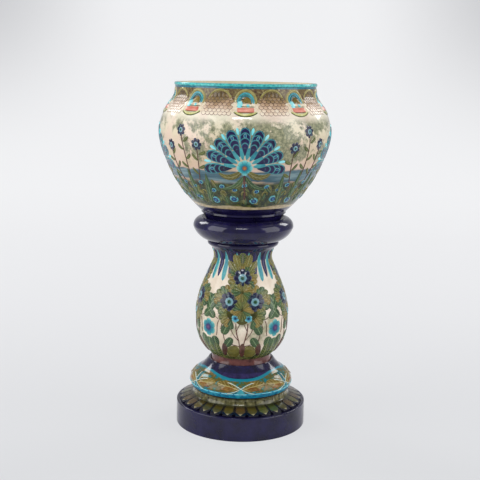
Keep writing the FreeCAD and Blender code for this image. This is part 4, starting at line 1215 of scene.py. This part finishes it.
@dataclass
class StemFlowers:
    """Bouquets, flowers, leaves, buds and spears around the stem.

    Attributes:
        wall: The stem's wall.
        count: How many bouquets there are.
        on_foliage: How far the foliage stands over the wall.
        spears: How many spears there are.
        random: Chance for the leaves' bends.
        greens: Finishes of the bouquet's leaves, with their pieces' names.
    """

    wall: Wall
    count: int = 4
    on_foliage: float = 1.9
    spears: int = 16
    random: Random = field(default_factory=lambda: Random(11))
    greens: tuple[tuple[Finish, str], ...] = (
        (VEINED_MOSS, "bouquet_green"), (VEINED_OLIVE, "bouquet_olive"), (VEINED_OCHRE, "bouquet_gold"),
        (VEINED_LEAF, "bouquet_dark"))

    def wreath(self, art: Ornament, spot: Spot, reach: float, leaves: int, spread: float, bare: float = 0.42) -> None:
        """A fan of leaves about a rosette or posy, in two finishes, over shorter ones in a third.

        Args:
            art: The stem's ornament.
            spot: The wreath's middle and the way that it faces.
            reach: How far the leaves' tips lie from the middle.
            leaves: How many leaves the outer row has.
            spread: Degrees that the rows open over.
            bare: Share of the reach that stays free about the middle.
        """
        rows = ((reach, leaves, 0.0, 0.5), (reach * 0.8, leaves - 1, 0.5, 0.8))
        for index, (far, count, shift, lift) in enumerate(rows):
            for place in range(count):
                lean = spread * ((place + shift) / (leaves - 1) - 0.5)
                near = far * bare
                shape = Stroke(straight(far - near, 2.0 * self.random.uniform(-1.0, 1.0), (0.0, near)), reach * 0.36,
                               Taper.PETAL, Section.RIBBED, 2.0, 10)
                finish, name = self.greens[(place + index) % len(self.greens)]
                art.piece(name, finish).around(self.count, shape, Spot(
                    0.0, spot.level, spot.across, spot.lean + lean, 1.0, spot.side, lift + spot.lift))

    def bouquets(self, art: Ornament) -> None:
        """Wreaths of leaves over the foliage, three rosettes and two posies."""
        for side in (-1.0, 1.0):
            self.wreath(art, Spot(0.0, 340.0, 24.0, 96.0, side=side), 42.0, 8, 150.0)
            self.wreath(art, Spot(0.0, 373.0, 34.5, 62.0, side=side), 44.0, 10, 200.0)
        self.wreath(art, Spot(0.0, 434.5, 0.0, 0.0), 42.0, 12, 260.0)
        peak = Stroke(straight(44.0, 0.0, (0.0, 26.0)), 24.0, Taper.LEAF, Section.RIBBED, 2.1, 14)
        art.piece("bouquet_green", VEINED_MOSS).around(self.count, peak, Spot(0.0, 434.5, lift=0.4))
        for side in (-1.0, 1.0):
            for level, across, lean, size in ((436.0, 2.0, 17.0, 0.94), (432.0, 6.0, 34.0, 0.80)):
                art.piece("bouquet_olive", VEINED_OLIVE).around(
                    self.count, peak, Spot(0.0, level, across, lean, size, side, 0.9))
        self.wreath(art, Spot(0.0, 352.0, 0.0, 180.0, lift=0.9), 34.0, 9, 320.0, 0.08)
        self.wreath(art, Spot(0.0, 398.0, 0.0, 180.0, lift=0.9), 32.0, 10, 340.0, 0.08)
        rosette = Disc(26.0, 8, 0.17, rise=2.3, boss=0.18, around=64)
        for across, level in ((0.0, 434.5), (-34.5, 373.0), (34.5, 373.0)):
            art.piece("rosette_flowers", ROSETTE).around(
                self.count, rosette, Spot(0.0, level, across, lift=self.on_foliage))
        posy = Disc(11.0, 6, 0.18, rise=2.0, boss=0.15, around=30)
        for side in (-1.0, 1.0):
            art.piece("posy_flowers", POSY).around(self.count, posy, Spot(0.0, 330.0, 17.5 * side, lift=self.on_foliage))

    def sprays(self, art: Ornament) -> None:
        """Large flowers between the bouquets, with oval leaves and branching brown stems."""
        half = FULL_TURN / (2.0 * self.count)
        flower = Disc(25.0, 6, 0.20, 1.0, 2.1, 0.2, around=48)
        art.piece("large_flowers", FLOWER).around(self.count, flower, Spot(half, 296.5))
        oval = Stroke(straight(36.0), 25.0, Taper.ROUND, Section.RIBBED, 2.0, 12)
        leaves = ((52.0, 282.0, -24.0, 1.0), (44.0, 246.0, -30.0, 0.95), (67.0, 244.0, 16.0, 0.9),
                  (94.0, 345.0, -34.0, 0.9), (76.0, 324.0, 34.0, 0.9), (84.0, 362.0, 8.0, 0.8), (86.0, 238.0, 4.0, 0.85))
        stems = (((6.0, 244.0), (4.0, 270.0), (18.0, 282.0), (16.0, 318.0)),
                 ((6.5, 262.0), (12.0, 276.0), (28.0, 282.0), (32.0, 310.0)),
                 ((14.0, 284.0), (18.0, 296.0), (8.0, 304.0), (4.0, 320.0)),
                 ((6.0, 248.0), (18.0, 256.0), (24.0, 250.0), (34.0, 262.0)),
                 ((62.0, 322.0), (54.0, 330.0), (50.0, 318.0), (58.0, 300.0)),
                 ((70.0, 276.0), (64.0, 292.0), (72.0, 306.0), (62.0, 322.0)),
                 ((62.0, 322.0), (76.0, 334.0), (88.0, 330.0), (92.0, 350.0)),
                 ((60.0, 300.0), (48.0, 292.0), (52.0, 276.0), (44.0, 262.0)))
        for side in (-1.0, 1.0):
            for across, level, lean, size in leaves:
                art.piece("oval_leaves", VEINED_LEAF).around(self.count, oval, Spot(
                    0.0, level, across, lean, size, side))
            for index, spine in enumerate(stems):
                stem = Stroke(spine, 3.4 if index == 0 else 2.4, Taper.EVEN, Section.LINE, 1.3, 16)
                art.piece("thin_stems", MAROON).around(self.count, stem, Spot(0.0, 0.0, side=side))

    def foot(self, art: Ornament) -> None:
        """Broad hearts and pointed buds above the foot ring."""
        half = FULL_TURN / (2.0 * self.count)
        heart = Stroke(straight(42.0), 41.0, Taper.ROUND, Section.DOME, 2.0, 14)
        bud = Stroke(straight(46.0), 17.0, Taper.LEAF, Section.RIBBED, 2.0, 12)
        tall = Stroke(straight(52.0), 24.0, Taper.ROUND, Section.RIBBED, 1.9, 14)
        for side in (-1.0, 1.0):
            art.piece("broad_hearts", LINED_OLIVE).around(self.count, heart, Spot(0.0, 210.5, 21.5, side=side))
            art.piece("bud_spikes", MAROON).around(self.count, bud, Spot(0.0, 214.0, 44.0, 3.0, side=side))
            art.piece("side_hearts", VEINED_MOSS).around(self.count, tall, Spot(half, 207.0, 14.0, 10.0, side=side))
        art.piece("bud_spikes", MAROON).around(self.count, bud, Spot(0.0, 212.0, 1.0, 2.0, 1.04))
        art.piece("side_hearts", VEINED_MOSS).around(self.count, tall, Spot(half, 209.0, 0.0, 0.0, 0.9))

    def neck(self, art: Ornament) -> None:
        """Spears around the neck, with dark tongues between them."""
        step = FULL_TURN / self.spears
        spear = Stroke(straight(82.0), 15.0, Taper.BLADE, Section.RIBBED, 2.1, 16)
        art.piece("spear_leaves", SPEAR).around(self.spears, spear, Spot(step / 2.0, 423.5))
        tongue = Stroke(straight(74.0), 16.0, Taper.LEAF, Section.DOME, 1.8, 12)
        art.piece("spear_tongues", INDIGO).around(self.spears, tongue, Spot(0.0, 432.0))

    def build(self) -> None:
        """Makes the stem's pieces."""
        art = Ornament(self.wall)
        self.bouquets(art)
        self.sprays(art)
        self.foot(art)
        self.neck(art)
        art.build({"rosette_flowers": ("stem_rosettes",), "posy_flowers": ("stem_posies",),
                   "large_flowers": ("stem_flowers",), "oval_leaves": ("stem_leaves",),
                   "broad_hearts": ("stem_hearts",), "bud_spikes": ("stem_buds",), "spear_leaves": ("stem_spears",)})


@dataclass
class BaseRibbons:
    """Straps, crossing ribbons and leaf scrolls on the base moulding.

    Attributes:
        wall: The moulding's wall.
        straps: How many straps there are.
        scrolls: How many leaf scrolls there are.
    """

    wall: Wall
    straps: int = 3
    scrolls: int = 12

    def upright(self, art: Ornament) -> None:
        """The straps, each with a dark line down its middle and a pale one beside it."""
        half = FULL_TURN / (2.0 * self.straps)
        strap = Stroke(straight(40.0), 9.0, Taper.EVEN, Section.DISHED, 2.1, 10)
        art.piece("strap_ribs", TURQUOISE).around(self.straps, strap, Spot(half, 119.0))
        line = Stroke(straight(37.0), 2.2, Taper.EVEN, Section.LINE, 0.8, 10)
        art.piece("strap_lines", MAROON).around(self.straps, line, Spot(half, 120.5, lift=1.2))
        pale = Stroke(straight(33.0), 1.7, Taper.EVEN, Section.LINE, 1.3, 10)
        for across in (-7.6, 7.6):
            art.piece("pale_lines", CREAM).around(self.straps, pale, Spot(half, 124.0, across))

    def crossings(self, art: Ornament) -> None:
        """Ribbons that run up and down between the leaves, and their pale edges."""
        step = FULL_TURN / self.scrolls
        for side in (-1.0, 1.0):
            spine = ((-37.0, 0.0), (-14.0, 1.0), (14.0, 25.0), (37.0, 26.0))
            ribbon = Stroke(spine, 4.2, Taper.EVEN, Section.DOME, 1.7, 16)
            art.piece("cross_ribbons", TURQUOISE).around(self.scrolls // 2, ribbon, Spot(0.0, 122.0, side=side))
            edge = Stroke(spine, 1.4, Taper.EVEN, Section.LINE, 0.9, 16)
            art.piece("pale_lines", CREAM).around(self.scrolls // 2, edge, Spot(0.0, 122.0, side=side, lift=1.45))
        border = Stroke(((-19.0, 0.0), (-6.0, 0.0), (6.0, 0.0), (19.0, 0.0)), 2.0, Taper.EVEN, Section.LINE, 1.2, 6)
        art.piece("border_lines", CYAN).around(24, border, Spot(0.0, 120.4))
        leaf = Stroke(((0.0, 0.0), (18.0, 9.0), (46.0, 5.0), (70.0, 8.0)), 23.0, Taper.LEAF, Section.RIBBED, 1.9, 18)
        art.piece("scroll_leaves", VEINED_OCHRE).around(self.scrolls // 2, leaf, Spot(step / 2.0, 129.0, -35.0, -7.0))
        art.piece("scroll_leaves", VEINED_OCHRE).around(self.scrolls // 2, leaf, Spot(-step / 2.0, 129.0, -35.0, -7.0, side=-1.0))
        back = Stroke(((0.0, 0.0), (12.0, -4.0), (26.0, 3.0), (42.0, 0.0)), 10.0, Taper.LEAF, Section.RIBBED, 2.1, 12)
        art.piece("amber_leaves", AMBER).around(self.scrolls // 2, back, Spot(step / 2.0, 138.0, -22.0, 10.0))
        art.piece("amber_leaves", AMBER).around(self.scrolls // 2, back, Spot(-step / 2.0, 138.0, -22.0, 10.0, side=-1.0))
        peak = Stroke(straight(17.0), 24.0, Taper.PETAL, Section.DOME, 1.4, 10)
        art.piece("base_peaks", TURQUOISE).around(self.scrolls // 2, peak, Spot(0.0, 137.0, 0.0, 180.0))

    def build(self) -> None:
        """Makes the moulding's pieces."""
        art = Ornament(self.wall)
        self.crossings(art)
        self.upright(art)
        art.build({"strap_ribs": ("base_straps",), "scroll_leaves": ("base_scrolls",)})


# The studio


@dataclass(frozen=True)
class Studio:
    """Camera, lamps and backdrop.

    Attributes:
        distance: From the object's axis to the camera, level, in metres.
        height: Of the camera over the floor.
        aside: How far the camera stands left of the axis.
        pitch: Degrees that it looks down.
        roll: Degrees that it leans.
        lens: Focal length in millimetres on a 36 mm sensor.
    """

    distance: float = 2.703
    height: float = 1.009
    aside: float = 0.0088
    pitch: float = 10.18
    roll: float = 0.95
    lens: float = 73.5

    def camera(self) -> None:
        """Sets the camera at the photograph's angle."""
        data = bpy.data.cameras.new("camera")
        data.lens = self.lens
        data.sensor_width = 36.0
        data.clip_end = 50.0
        camera = bpy.data.objects.new("camera", data)
        turn = Matrix.Rotation(math.radians(90.0 - self.pitch), 4, "X") @ Matrix.Rotation(math.radians(self.roll), 4, "Z")
        camera.matrix_world = Matrix.Translation((-self.aside, -self.distance, self.height)) @ turn
        bpy.context.scene.collection.objects.link(camera)
        bpy.context.scene.camera = camera

    def lamp(self, name: str, place: Point3, aim: Point3, size: Point, power: float) -> None:
        """Adds a soft rectangular lamp that faces a point."""
        data = bpy.data.lights.new(name, "AREA")
        data.shape = "RECTANGLE"
        data.size, data.size_y = size
        data.energy = power
        lamp = bpy.data.objects.new(name, data)
        way = Vector(aim) - Vector(place)
        lamp.matrix_world = Matrix.Translation(place) @ way.to_track_quat("-Z", "Y").to_matrix().to_4x4()
        bpy.context.scene.collection.objects.link(lamp)

    def lamps(self) -> None:
        """Two broad side boxes, two over the shoulders and a small one high in front."""
        middle = (0.0, 0.0, 0.55)
        self.lamp("left_box", (-3.0, -1.3, 1.7), middle, (2.6, 3.0), 66.0)
        self.lamp("right_box", (3.0, -1.1, 1.6), middle, (2.4, 3.0), 52.0)
        self.lamp("left_top", (-2.9, 2.2, 2.7), middle, (1.2, 1.5), 38.0)
        self.lamp("right_top", (3.0, 2.2, 2.6), middle, (1.2, 1.5), 33.0)
        self.lamp("front_top", (-0.3, -3.6, 3.9), middle, (1.9, 0.42), 42.0)

    def backdrop(self) -> None:
        """A floor that sweeps up behind the object, and a pale world."""
        mesh = bmesh.new()
        edge = [mesh.verts.new((-6.0, y, z)) for y, z in self.sweep()]
        edges = [mesh.edges.new(pair) for pair in zip(edge, edge[1:])]
        grown = bmesh.ops.extrude_edge_only(mesh, edges=edges)["geom"]
        moved = [item for item in grown if isinstance(item, bmesh.types.BMVert)]
        bmesh.ops.translate(mesh, vec=(12.0, 0.0, 0.0), verts=moved)
        bmesh.ops.recalc_face_normals(mesh, faces=mesh.faces)
        floor = add_object("backdrop", mesh)
        for face in floor.data.polygons:
            face.use_smooth = True
        floor.data.materials.append(self.paper())
        world = bpy.data.worlds.new("studio_world")
        world.use_nodes = True
        tree = world.node_tree
        tree.nodes["Background"].inputs[0].default_value = (0.90, 0.92, 0.95, 1.0)
        tree.nodes["Background"].inputs[1].default_value = 0.39
        bpy.context.scene.world = world

    def sweep(self) -> list[Point]:
        """The backdrop's line: floor, quarter circle, wall."""
        radius, depth, reach = 2.2, 3.2, 6.0
        bend = [(depth + radius * math.sin(a), radius - radius * math.cos(a))
                for a in (math.radians(6.0 * step) for step in range(16))]
        return [(-reach, 0.0), *bend, (depth + radius, 6.0)]

    def paper(self) -> bpy.types.Material:
        """White paper, with painted light for the camera alone: a glow brighter towards the back wall, and painted
        shade in the upper corners.
        """
        graph = Graph("backdrop_paper")
        path = graph.add("LightPath")
        seen = graph.math("ADD", path.outputs["Is Camera Ray"], path.outputs["Is Transmission Ray"])
        tone = graph.ramp(graph.noise(0.6, 2.0), [(0.3, (0.74, 0.74, 0.76)), (0.7, (0.78, 0.78, 0.79))])
        paper = graph.add("BsdfDiffuse", {"Color": tone})
        aside, depth, height = graph.add("SeparateXYZ", {0: graph.place}).outputs
        # Painted light: the paper glows for camera rays, brighter towards the back wall.
        glow = graph.ramp(graph.math("MULTIPLY", graph.math("ADD", depth, 0.5), 0.2), [
            (0.0, (0.71, 0.72, 0.74)), (0.35, (0.84, 0.845, 0.865)), (0.9, (0.97, 0.975, 0.99))])
        # Painted shade: darker towards the upper corners.
        corner = graph.both(graph.step(graph.math("ABSOLUTE", aside), 0.8, 2.3), graph.step(height, 0.2, 1.7), 0.9)
        glow = graph.mix(corner, glow, (0.56, 0.565, 0.585))
        glow = graph.add("Emission", {"Color": glow, "Strength": 1.0})
        both = graph.add("MixShader", {0: graph.math("MULTIPLY", seen, 0.8), 1: paper.outputs[0], 2: glow.outputs[0]})
        graph.add("OutputMaterial", {0: both.outputs[0]})
        return graph.material

    def build(self) -> None:
        """Sets the whole studio."""
        self.camera()
        self.lamps()
        self.backdrop()
        bpy.context.scene.view_settings.view_transform = "Standard"


def dress_sections() -> None:
    """Gives the thrown sections and the foliage their glazes."""
    finishes: dict[str, Finish] = {
        "plinth_drum": NAVY, "gadroon_ring": TongueGround(), "fluted_ring": FluteGround(),
        "base_moulding": MouldingGround(), "foot_ring": BROWN, "baluster_stem": StemGround(),
        "neck_flange": NAVY, "cap_ring": NAVY, "bowl": BowlGround(), "bouquet_foliage": OLIVE,
    }
    for node, finish in finishes.items():
        dress(node, finish.material())


def main() -> None:
    """Builds every piece in order."""
    Studio().build()
    dress_sections()
    bowl = Wall("bowl", Body.BOWL)
    RimFrieze(bowl).build()
    BellyFlowers(bowl).build()
    StemFlowers(Wall("baluster_stem", Body.STAND)).build()
    BaseRibbons(Wall("base_moulding", Body.STAND)).build()


if __name__ == "__main__":
    main()
